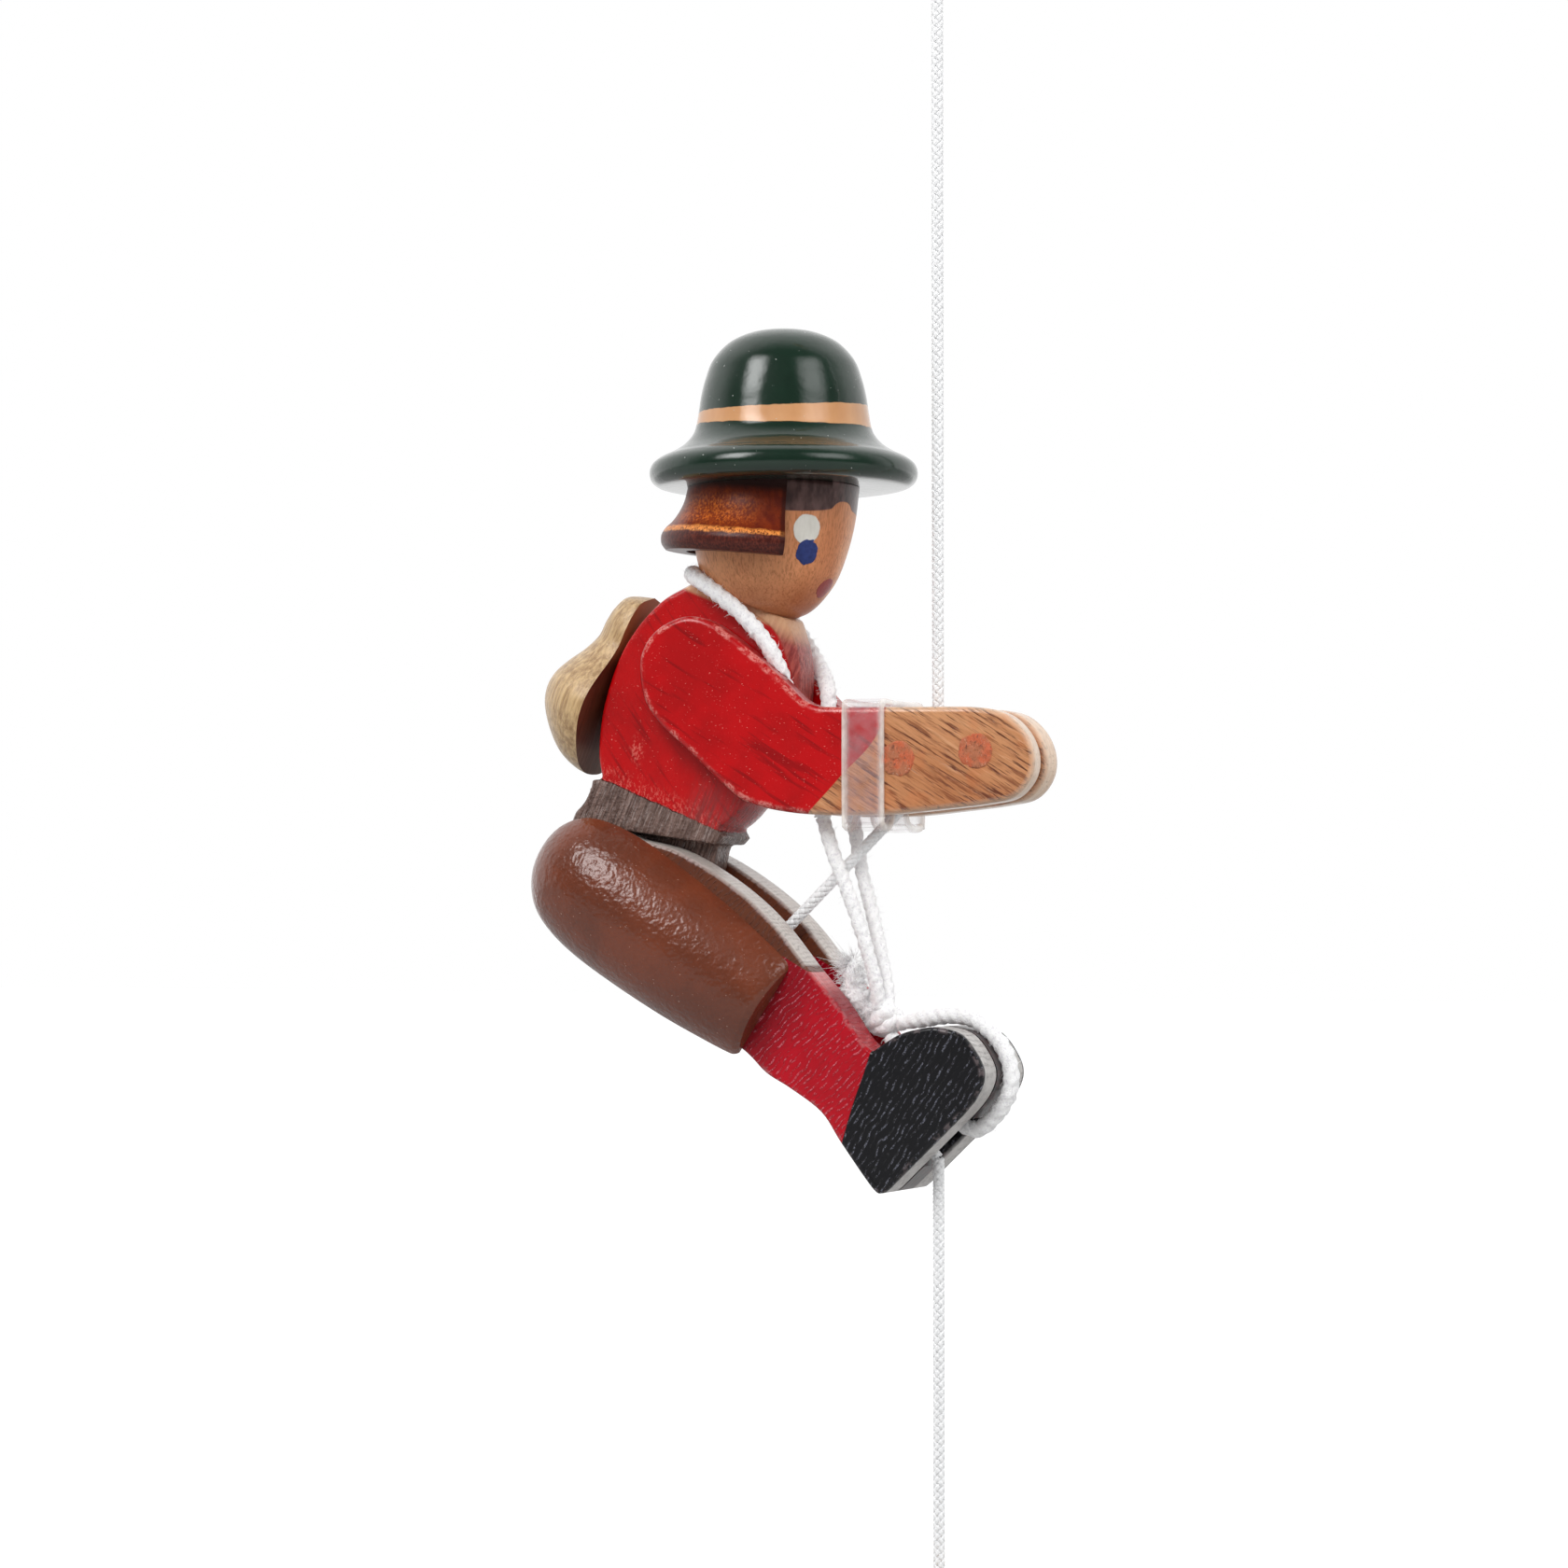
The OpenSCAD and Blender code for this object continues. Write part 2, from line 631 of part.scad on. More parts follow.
module elastic_strand_right() {
    color("snow") elastic_strand(elastic_right_route);
}

module elastic_strand_left() {
    color("snow") elastic_strand(elastic_left_route);
}

module elastic_toe_loop() {
    color("snow") translate([0, 0, elastic_lift]) tube(curve(elastic_toe_route, 2), elastic_d);
}

// The knot lies in the crook of the instep, with the cord's frayed end behind it
elastic_knot_r = 2.9;
elastic_knot_w = leg_gap - 0.2;

module elastic_knot() {
    color("snow") translate([0, 0, elastic_lift]) union() {
        translate(knot_centre) rotate([0, 30, 0]) rotate([90, 0, 0])
            cylinder(r = elastic_knot_r, h = elastic_knot_w, center = true, $fn = 32);
        tube(elastic_end_route, elastic_d);
    }
}

// A leg board in the side view, from the hip pivot: thigh, shin and shoe
thigh_front = [[5.1, 7.8], [11.5, 6.2], [17.5, 3.2], [23.4, -0.8], [28.2, -5.2], [33.1, -11],
    [37.5, -15.8], [40.8, -20.5], [42.9, -22.5]];
shoe_top = [[42.9, -22.5], [46.7, -20.2], [50.2, -19.2], [53.1, -19], [56.6, -20.1], [59.1, -23.3],
    [59.8, -25.9], [58.7, -28.7], [56.6, -31.2]];
heel_back = [[45.5, -41.7], [44.3, -42.4], [42.8, -41.6], [38.1, -35.5], [35, -31.2], [30.1, -27.9],
    [26.4, -25.8], [22.4, -22.3], [14, -17.6], [4, -12.6], [-5.1, -7.8]];
leg_outline = concat(
    curve(thigh_front, 3),
    [for (q = curve(shoe_top, 3)) if (q != shoe_top[0]) q],
    curve(heel_back, 3),
    [for (k = [1 : 11]) hip_end_r * [cos(236.5 - 180 * k / 12), sin(236.5 - 180 * k / 12)]]
);

module leg() {
    difference() {
        board(shifted(leg_outline, hip), -leg_inner, leg_t);
        cross_dowel(hip, hip_dowel_d + 2 * dowel_fit, 60);
        cross_dowel(peg, peg_d + 2 * dowel_fit, 60);
    }
}

module leg_right() {
    color("crimson") leg();
}

module leg_left() {
    color("crimson") left_side() leg();
}

// A thigh is the slice of a turned barrel, glued on the outside of its leg board
thigh_r = (thigh_half * thigh_half + thigh_depth * thigh_depth) / (2 * thigh_depth);
thigh_sink = thigh_r - thigh_depth;
thigh_curve = [
    [0, -13.1], [thigh_r * 0.3, -12.7], [thigh_r * 0.6, -11.1], [thigh_r * 0.83, -8],
    [thigh_r * 0.95, -3.6], [thigh_r, 2], [thigh_r * 0.995, 10], [thigh_r * 0.96, 18],
    [thigh_r * 0.9, 25], [thigh_r * 0.85, 29.6], [thigh_r * 0.82, 30.7], [thigh_r * 0.78, 31.2]
];

module thigh() {
    intersection() {
        translate([hip[0], -leg_outer + thigh_sink, hip[1]]) rotate([0, 90 + thigh_angle, 0])
            rotate_extrude($fn = 96) polygon(concat(curve(thigh_curve, 3), [[0, 31.2]]));
        translate([-far / 2, -leg_outer - far, -1.5 * far]) cube([far, far, 1.5 * far]);
    }
}

module thigh_right() {
    color("saddlebrown") thigh();
}

module thigh_left() {
    color("saddlebrown") left_side() thigh();
}

module hip_dowel() {
    color("burlywood") cross_dowel(hip, hip_dowel_d, 2 * leg_outer - 0.1);
}

module string_peg() {
    color("burlywood") cross_dowel(peg, peg_d, 2 * leg_outer - 0.1);
}

// Two spacers hold the shoes apart and leave a slot for the string in the sole
heel_outline = concat(
    [[48.6, -38.8]],
    curve([[45.5, -41.7], [44.3, -42.4], [42.8, -41.6], [38.1, -35.5], [36, -32.4]], 3),
    [[39.5, -31], [48.6, -37.9]]
);
toe_outline = concat(
    curve([[45.8, -20.6], [50.2, -19.2], [53.1, -19], [56.6, -20.1], [59.1, -23.3], [59.8, -25.9],
        [58.7, -28.7], [56.6, -31.2]], 3),
    [[56, -31.9], [55.2, -31.6], [45.4, -21.9]]
);

module heel_spacer() {
    color("black") board(shifted(heel_outline, hip), leg_inner, leg_gap);
}

module toe_spacer() {
    color("black") board(shifted(toe_outline, hip), leg_inner, leg_gap);
}

hanging_ring();
ring_knot();
string_upper();
string_hand();
hat();
hat_dowel();
head();
hair();
neck_dowel();
torso();
backpack();
backpack_dowel();
arm_right();
arm_left();
shoulder_dowel();
hand_pin_rear();
hand_pin_front();
wrist_band();
elastic_neck();
string_diagonal();
elastic_strand_right();
elastic_strand_left();
leg_right();
leg_left();
thigh_right();
thigh_left();
hip_dowel();
string_peg();
heel_spacer();
toe_spacer();
elastic_toe_loop();
elastic_knot();
string_legs();
string_foot();
string_lower();
pull_bead();
bead_knot();
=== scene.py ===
import json
import math
import random

import bmesh
import bpy
from mathutils import Matrix, Vector, noise
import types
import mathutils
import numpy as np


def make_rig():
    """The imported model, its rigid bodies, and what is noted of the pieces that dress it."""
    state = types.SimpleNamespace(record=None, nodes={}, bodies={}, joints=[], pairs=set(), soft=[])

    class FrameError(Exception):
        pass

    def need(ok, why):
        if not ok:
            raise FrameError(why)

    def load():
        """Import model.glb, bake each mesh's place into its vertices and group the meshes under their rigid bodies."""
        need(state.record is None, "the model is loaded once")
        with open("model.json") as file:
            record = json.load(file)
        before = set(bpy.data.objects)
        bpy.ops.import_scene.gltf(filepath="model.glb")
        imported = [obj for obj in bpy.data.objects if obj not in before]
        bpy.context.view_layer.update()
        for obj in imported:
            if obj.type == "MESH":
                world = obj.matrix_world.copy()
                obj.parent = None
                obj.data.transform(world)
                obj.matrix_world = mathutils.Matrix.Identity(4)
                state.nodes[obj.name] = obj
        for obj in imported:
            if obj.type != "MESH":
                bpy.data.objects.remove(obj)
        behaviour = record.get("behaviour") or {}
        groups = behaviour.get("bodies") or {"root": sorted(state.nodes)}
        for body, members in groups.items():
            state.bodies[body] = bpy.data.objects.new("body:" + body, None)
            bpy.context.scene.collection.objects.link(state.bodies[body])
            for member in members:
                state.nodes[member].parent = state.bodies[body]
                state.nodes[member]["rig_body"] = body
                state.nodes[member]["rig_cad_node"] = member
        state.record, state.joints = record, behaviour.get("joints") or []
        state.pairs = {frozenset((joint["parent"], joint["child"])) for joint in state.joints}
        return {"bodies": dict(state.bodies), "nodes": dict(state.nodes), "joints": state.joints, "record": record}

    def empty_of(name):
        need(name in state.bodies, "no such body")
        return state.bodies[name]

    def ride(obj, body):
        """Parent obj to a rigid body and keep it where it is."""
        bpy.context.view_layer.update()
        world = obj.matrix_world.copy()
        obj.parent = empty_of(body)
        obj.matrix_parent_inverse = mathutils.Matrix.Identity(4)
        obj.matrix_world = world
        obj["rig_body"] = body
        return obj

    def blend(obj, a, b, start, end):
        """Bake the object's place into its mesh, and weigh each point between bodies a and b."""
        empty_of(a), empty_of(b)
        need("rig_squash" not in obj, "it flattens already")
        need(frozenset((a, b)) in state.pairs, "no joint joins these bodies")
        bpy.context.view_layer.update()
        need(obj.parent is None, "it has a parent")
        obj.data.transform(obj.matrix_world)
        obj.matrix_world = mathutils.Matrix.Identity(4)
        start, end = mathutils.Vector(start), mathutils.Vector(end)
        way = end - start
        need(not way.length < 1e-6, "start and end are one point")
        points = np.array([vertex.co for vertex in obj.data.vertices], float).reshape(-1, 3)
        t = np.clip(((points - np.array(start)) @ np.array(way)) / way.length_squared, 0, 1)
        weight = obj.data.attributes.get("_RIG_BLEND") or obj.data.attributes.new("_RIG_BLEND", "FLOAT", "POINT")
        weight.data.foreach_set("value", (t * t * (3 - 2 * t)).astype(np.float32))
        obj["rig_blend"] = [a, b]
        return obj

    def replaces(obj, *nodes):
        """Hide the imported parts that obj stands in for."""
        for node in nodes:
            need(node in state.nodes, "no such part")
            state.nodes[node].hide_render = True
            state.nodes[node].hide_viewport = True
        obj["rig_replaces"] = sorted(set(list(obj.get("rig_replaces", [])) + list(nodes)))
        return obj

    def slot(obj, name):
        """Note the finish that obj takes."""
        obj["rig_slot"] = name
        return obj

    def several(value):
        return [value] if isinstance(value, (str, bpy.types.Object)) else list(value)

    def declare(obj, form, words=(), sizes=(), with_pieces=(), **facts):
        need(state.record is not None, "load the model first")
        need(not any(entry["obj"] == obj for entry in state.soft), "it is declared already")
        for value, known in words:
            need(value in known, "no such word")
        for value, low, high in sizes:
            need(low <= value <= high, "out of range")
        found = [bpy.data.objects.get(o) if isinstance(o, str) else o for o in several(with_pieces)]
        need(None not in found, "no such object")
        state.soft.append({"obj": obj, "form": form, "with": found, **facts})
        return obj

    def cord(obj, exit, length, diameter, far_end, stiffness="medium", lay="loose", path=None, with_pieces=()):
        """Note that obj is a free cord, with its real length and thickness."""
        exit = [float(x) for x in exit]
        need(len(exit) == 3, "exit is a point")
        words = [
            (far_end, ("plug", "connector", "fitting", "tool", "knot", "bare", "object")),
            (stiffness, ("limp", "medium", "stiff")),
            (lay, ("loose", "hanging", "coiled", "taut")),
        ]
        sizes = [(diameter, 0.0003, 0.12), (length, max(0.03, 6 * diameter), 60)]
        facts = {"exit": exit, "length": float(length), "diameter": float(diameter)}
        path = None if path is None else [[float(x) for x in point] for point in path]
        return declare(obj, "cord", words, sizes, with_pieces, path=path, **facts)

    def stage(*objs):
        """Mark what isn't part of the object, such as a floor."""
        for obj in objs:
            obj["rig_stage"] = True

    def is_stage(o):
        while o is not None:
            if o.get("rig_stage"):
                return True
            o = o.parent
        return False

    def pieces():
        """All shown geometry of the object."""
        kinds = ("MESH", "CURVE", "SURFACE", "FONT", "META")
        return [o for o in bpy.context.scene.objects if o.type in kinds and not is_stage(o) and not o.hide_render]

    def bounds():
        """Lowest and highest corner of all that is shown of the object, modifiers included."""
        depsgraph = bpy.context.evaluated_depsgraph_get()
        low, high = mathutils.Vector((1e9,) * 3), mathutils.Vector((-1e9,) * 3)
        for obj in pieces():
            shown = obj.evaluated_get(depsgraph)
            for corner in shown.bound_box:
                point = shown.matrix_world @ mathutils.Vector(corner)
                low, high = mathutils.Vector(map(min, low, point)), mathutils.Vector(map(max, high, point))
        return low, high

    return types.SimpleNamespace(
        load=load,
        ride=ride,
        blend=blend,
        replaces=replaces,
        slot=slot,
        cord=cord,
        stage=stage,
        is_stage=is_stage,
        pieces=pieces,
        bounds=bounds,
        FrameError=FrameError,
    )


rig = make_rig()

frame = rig.load()
cad_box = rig.bounds()
scene = bpy.context.scene
scene.view_settings.view_transform = "Standard"

# Shapes are written in millimetres and made in metres.
MM = 0.001

# The camera looks at the figure's right side, a little from the front and from below.
CAMERA_TURN = math.radians(25)
CAMERA_RISE = math.atan(1 / 30)
CAMERA_DISTANCE = 0.56757
AIM = Vector((-0.0242, 0, -0.1331))
# The level direction from the camera to what lies behind the figure
AWAY = (-math.sin(CAMERA_TURN), math.cos(CAMERA_TURN), 0)

camera_data = bpy.data.cameras.new("camera")
camera_data.lens = 90
camera_data.sensor_width = 36
camera = bpy.data.objects.new("camera", camera_data)
scene.collection.objects.link(camera)
to_camera = Vector((math.sin(CAMERA_TURN), -math.cos(CAMERA_TURN), -math.tan(CAMERA_RISE)))
camera.location = AIM + CAMERA_DISTANCE * to_camera
camera.rotation_euler = (math.pi / 2 + CAMERA_RISE, 0, CAMERA_TURN)
scene.camera = camera

# Sizes in millimetres and angles in degrees, as in the part's source
STRING_D, ELASTIC_D, CORD_GAP = 1.8, 2.7, 0.05
RING_BORE_R, EYE_HOLE_R, EYE_WALL, EYE_DEPTH = 7.5, 1.6, 1.7, 2.6
HAND_PIN_R, HAND_PIN_STEP, PEG_R = 2.5, Vector((11.4, 0.9)), 1.5
ARM_INNER, ARM_T = 0.7, 4.2
ARM_OUTER = ARM_INNER + ARM_T
BAND_W, BAND_T = 6.3, 0.9
TORSO_LEAN, COLLAR_H = 23, 32
PACK_LEAN, PACK_R = 22, 10.6
HEAD_TILT, HEAD_R = 5.6, 12.1
FACE_ANGLE, FACE_TURN = 130, 7.5
HAIR_LOW, HAIR_LIP_R = 9.1, 16
HAT_H, CROWN_R, BRIM_R = 23, 12.4, 19.5
LEG_INNER, LEG_T = 2.5, 5.5
THIGH_SLOPE, THIGH_HALF, THIGH_DEPTH = 33, 10.1, 6
STRING_SLOPE, FOOT_STUB, PULL_DROP, BEAD_R = 42.2, 4, 68.5, 7.5
# How far each arm turns outwards, in radians
ARM_SPLAY = math.radians(5)


def direction(angle):
    """The unit vector of the side view at an angle in degrees: 0 is forward and 90 is up."""
    a = math.radians(angle)
    return Vector((math.cos(a), math.sin(a)))


def leaning(angle):
    """Ahead and up in space for what leans forward by an angle in degrees."""
    a = math.radians(angle)
    return (math.cos(a), 0, -math.sin(a)), (math.sin(a), 0, math.cos(a))


# Places in the side view, as X and Z
HAND_PIN = Vector((-3.4, -130))
FINGERTIP = HAND_PIN + Vector((19.9, 0))
WAIST = HAND_PIN + Vector((-38.7, -5.8))
HIP = WAIST + Vector((-7.7, -13))
STRING_EXIT = HIP + Vector((49.8, -37.6))
PEG = HIP + Vector((23.8, -10.8))
PACK_FOOT = WAIST + Vector((-9.9, 13.5))
COLLAR_TOP = WAIST + COLLAR_H * direction(90 - TORSO_LEAN)
HEAD_FOOT = COLLAR_TOP + Vector((2.2, -3.06))
HAT_SEAT = HEAD_FOOT + Vector((3.15, 19.3))
BEAD_Z = STRING_EXIT.y - PULL_DROP


def spot(place, y=0.0):
    """A place of the side view as a point in space."""
    return Vector((place[0], y, place[1]))


def curve(points, n, closed=False):
    """A smooth line through the points, with n steps between neighbours."""
    p = [Vector(q) for q in points]
    p = p[-1:] + p + p[:2] if closed else p[:1] + p + p[-1:]
    line = []
    for a, b, c, d in zip(p, p[1:], p[2:], p[3:]):
        for t in [k / n for k in range(n)]:
            line.append(0.5 * (
                2 * b + (c - a) * t + (2 * a - 5 * b + 4 * c - d) * t * t
                + (3 * b - a - 3 * c + d) * t * t * t
            ))
    return line if closed else line + [p[-1]]


def arc(centre, radius, start, end, n):
    """Points on an arc of the side view, with angles in degrees."""
    return [centre + radius * direction(start + (end - start) * k / n) for k in range(n + 1)]


def side_place(place, lean=0.0, y=0.0):
    """The frame that stands at a place of the side view and leans forward by degrees."""
    return Matrix.Translation(spot(place, y)) @ Matrix.Rotation(math.radians(lean), 4, "Y")


def new_piece(name, points, faces, material):
    """A smooth-shaded mesh object from points in millimetres."""
    mesh = bpy.data.meshes.new(name)
    mesh.from_pydata([Vector(p) * MM for p in points], [], faces)
    mesh.materials.append(material)
    mesh.shade_smooth()
    obj = bpy.data.objects.new(name, mesh)
    scene.collection.objects.link(obj)
    return obj


def edit(obj, change=None):
    """Runs change on the object's mesh, then turns its normals outwards."""
    shape = bmesh.new()
    shape.from_mesh(obj.data)
    if change:
        change(shape)
    bmesh.ops.recalc_face_normals(shape, faces=shape.faces)
    shape.to_mesh(obj.data)
    shape.free()


def cut(obj, point, normal):
    """Cuts away what lies on the normal's side of a plane, and closes the cut flat."""

    def change(shape):
        made = bmesh.ops.bisect_plane(
            shape, geom=shape.verts[:] + shape.edges[:] + shape.faces[:],
            plane_co=Vector(point) * MM, plane_no=Vector(normal), clear_outer=True
        )
        rim = [e for e in made["geom_cut"] if isinstance(e, bmesh.types.BMEdge)]
        bmesh.ops.holes_fill(shape, edges=rim, sides=0)

    edit(obj, change)


def bevel(obj, width, angle=30):
    """Rounds the edges that are sharper than an angle in degrees."""
    rounding = obj.modifiers.new("bevel", "BEVEL")
    rounding.width = width * MM
    rounding.segments = 3
    rounding.limit_method = "ANGLE"
    rounding.angle_limit = math.radians(angle)
    rounding.harden_normals = True


def loft(levels, count):
    """Side faces between closed rings of count points each, which lie one after another."""
    faces = []
    for level in range(levels - 1):
        for i in range(count):
            a, b = level * count + i, level * count + (i + 1) % count
            faces.append((a, b, b + count, a + count))
    return faces


def lathe(name, profile, place, material, sides=128, start=0.0, sweep=360.0, cuts=()):
    """A turned shape. The profile lists radius and height, and closes on the axis or on itself."""
    whole = sweep == 360.0
    steps = sides if whole else sides + 1
    count = len(profile)
    points = []
    for k in range(steps):
        turn = Matrix.Rotation(math.radians(start + sweep * k / sides), 4, "Z")
        points += [place @ turn @ Vector((r, 0, z)) for r, z in profile]
    faces = []
    for k in range(sides):
        here, there = k * count, (k + 1) % steps * count
        for i in range(count):
            j = (i + 1) % count
            faces.append((here + i, there + i, there + j, here + j))
    if not whole:
        faces.append(tuple(range(count)))
        faces.append(tuple(range((steps - 1) * count, steps * count)))
    obj = new_piece(name, points, faces, material)
    edit(obj, lambda shape: bmesh.ops.remove_doubles(shape, verts=shape.verts, dist=1e-7))
    for point, normal in cuts:
        cut(obj, point, normal)
    return obj


def inset(outline, depth):
    """The closed outline, moved inwards."""
    count = len(outline)
    area = sum(outline[i - 1].x * outline[i].y - outline[i].x * outline[i - 1].y for i in range(count))
    side = 1 if area > 0 else -1
    moved = []
    for i in range(count):
        before = (outline[i] - outline[i - 1]).normalized()
        after = (outline[(i + 1) % count] - outline[i]).normalized()
        n1 = side * Vector((-before.y, before.x))
        n2 = side * Vector((-after.y, after.x))
        moved.append(outline[i] + depth * (n1 + n2) / max(1 + n1.dot(n2), 0.6))
    return moved


def rounded_board(name, outline, y_low, y_high, material, radius, place=Matrix.Identity(4)):
    """A flat board with rounded edges. Its mask "rim" is 1 on the rounding, and "wall" between."""
    steps = 3
    # Each row gives its distance from the edge, its distance from the flat side, and both masks.
    rows = [(radius + 0.3, 0, 0, 0), (radius + 0.1, 0, 0.4, 0)]
    for k in range(steps + 1):
        a = math.pi / 2 * k / steps
        rows.append((radius * (1 - math.sin(a)), radius * (1 - math.cos(a)), 1, k / steps))
    rows.append((0, radius + 0.5, 0.3, 1))
    points, rim, wall = [], [], []
    for low in (True, False):
        for depth, height, rim_mask, wall_mask in rows if low else reversed(rows):
            y = y_low + height if low else y_high - height
            points += [place @ spot(p, y) for p in inset(outline, depth)]
            rim += [rim_mask] * len(outline)
            wall += [wall_mask] * len(outline)
    count = len(outline)
    levels = 2 * len(rows)
    ends = [tuple(range(count)), tuple(range((levels - 1) * count, levels * count))]
    obj = new_piece(name, points, ends + loft(levels, count), material)
    for label, values in (("rim", rim), ("wall", wall)):
        obj.data.attributes.new(label, "FLOAT", "POINT").data.foreach_set("value", values)
    edit(obj)
    return obj


def path_length(path):
    return sum((b - a).length for a, b in zip(path, path[1:]))


def resampled(path, step):
    """Points at even distances along a line."""
    lengths = [(b - a).length for a, b in zip(path, path[1:])]
    total = sum(lengths)
    count = max(2, round(total / step))
    points, i, passed = [], 0, 0.0
    for k in range(count + 1):
        goal = total * k / count
        while i < len(lengths) - 1 and passed + lengths[i] < goal:
            passed += lengths[i]
            i += 1
        points.append(path[i].lerp(path[i + 1], (goal - passed) / lengths[i]))
    return points


def frames_along(path):
    """A point, its tangent and two side vectors for each point, turned as little as possible."""
    side = Vector((0, 1, 0))
    result = []
    for i, point in enumerate(path):
        tangent = (path[min(i + 1, len(path) - 1)] - path[max(i - 1, 0)]).normalized()
        side = (side - side.dot(tangent) * tangent).normalized()
        result.append((point, tangent, side, tangent.cross(side)))
    return result


def around(a, u, v):
    """The direction at an angle between two side vectors."""
    return math.cos(a) * u + math.sin(a) * v


class Shape:
    """The points and faces of one mesh, made of tubes."""

    def __init__(self):
        self.points, self.faces = [], []

    def rings(self, rings):
        """Joins rings of points into a tube with closed ends."""
        base, sides = len(self.points), len(rings[0])
        for ring in rings:
            self.points.extend(ring)
        self.faces += [tuple(base + i for i in face) for face in loft(len(rings), sides)]
        self.faces.append(tuple(range(base + sides - 1, base - 1, -1)))
        self.faces.append(tuple(range(len(self.points) - sides, len(self.points))))

    def tube(self, path, radius, sides):
        """A round tube. The radius is a function of the place's number, the angle and the place."""
        rings = []
        for k, (p, _, u, v) in enumerate(frames_along(path)):
            angles = [2 * math.pi * i / sides for i in range(sides)]
            rings.append([p + radius(k, a, p) * around(a, u, v) for a in angles])
        self.rings(rings)

    def fibre(self, start, aim, length, thickness):
        """One curled fibre, thinner towards its end."""
        bend = Vector([dice.uniform(-1, 1) for _ in range(3)])
        line = [start + aim * length * t + bend * (length * t * t * 0.5) for t in (0, 0.33, 0.67, 1)]
        self.tube(line, lambda k, a, p: thickness * (1 - 0.22 * k), 3)

    def fuzz(self, path, diameter):
        """Short fibres that stand out from a cord, five to the millimetre."""
        places = frames_along(resampled(path, 0.5))
        for _ in range(int(path_length(path) * 5)):
            p, t, u, v = places[dice.randrange(len(places))]
            out = around(dice.uniform(0, 2 * math.pi), u, v)
            lean = (out + dice.uniform(-1, 1) * t).normalized()
            self.fibre(p + out * diameter / 2 * 0.9, lean, dice.uniform(0.3, 0.8), 0.03)

    def terry(self, path, diameter, sides=18):
        """A soft bumpy tube with three twisted lobes, as the cotton cover of elastic cord is."""

        def radius(k, a, p):
            bumps = 0.09 * noise.noise(p * 0.9) + 0.06 * noise.noise(p * 2.6)
            twist = 0.075 * math.cos(3 * a - 2 * math.pi * 0.3 * k / 1.6)
            return diameter / 2 * (0.95 + bumps + twist)

        self.tube(resampled(path, 0.3), radius, sides)

    def piece(self, name, material, change=lambda p: p):
        return new_piece(name, [change(p) for p in self.points], self.faces, material)


def rgb(r, g, b):
    """A picture colour, 0 to 255, as the linear colour that shaders take."""
    parts = [c / 255 for c in (r, g, b)]
    return tuple(c / 12.92 if c <= 0.04045 else ((c + 0.055) / 1.055) ** 2.4 for c in parts) + (1.0,)


class Nodes:
    """Short ways to build a node tree. A value is a plain number or another node's socket."""

    def __init__(self, tree):
        self.tree = tree

    def node(self, kind, **settings):
        made = self.tree.nodes.new(kind)
        for label, value in settings.items():
            setattr(made, label, value)
        return made

    def feed(self, socket, value):
        """Links a socket, or sets a plain number, vector or colour."""
        if isinstance(value, bpy.types.NodeSocket):
            self.tree.links.new(value, socket)
        else:
            socket.default_value = value

    def vector(self, operation, *values):
        made = self.node("ShaderNodeVectorMath", operation=operation)
        for socket, value in zip(made.inputs, values):
            self.feed(socket, value)
        return made.outputs["Value" if operation in ("DOT_PRODUCT", "LENGTH") else "Vector"]

    def math(self, operation, *values):
        made = self.node("ShaderNodeMath", operation=operation)
        for socket, value in zip(made.inputs, values):
            self.feed(socket, value)
        return made.outputs[0]

    def add(self, a, b):
        return self.math("ADD", a, b)

    def minus(self, a, b):
        return self.math("SUBTRACT", a, b)

    def axes(self, where):
        made = self.node("ShaderNodeSeparateXYZ")
        self.feed(made.inputs[0], where)
        return made.outputs

    def ramp(self, value, low, high, to_low=0.0, to_high=1.0, kind="LINEAR"):
        """Goes from to_low, where value is low, to to_high, where it is high."""
        made = self.node("ShaderNodeMapRange", interpolation_type=kind)
        labels = ("Value", "From Min", "From Max", "To Min", "To Max")
        for label, number in zip(labels, (value, low, high, to_low, to_high)):
            self.feed(made.inputs[label], number)
        return made.outputs["Result"]

    def step(self, value, low, high):
        """0 below low, 1 above high, and smooth between; low may be above high."""
        if low > high:
            return self.ramp(value, high, low, 1.0, 0.0, "SMOOTHSTEP")
        return self.ramp(value, low, high, kind="SMOOTHSTEP")


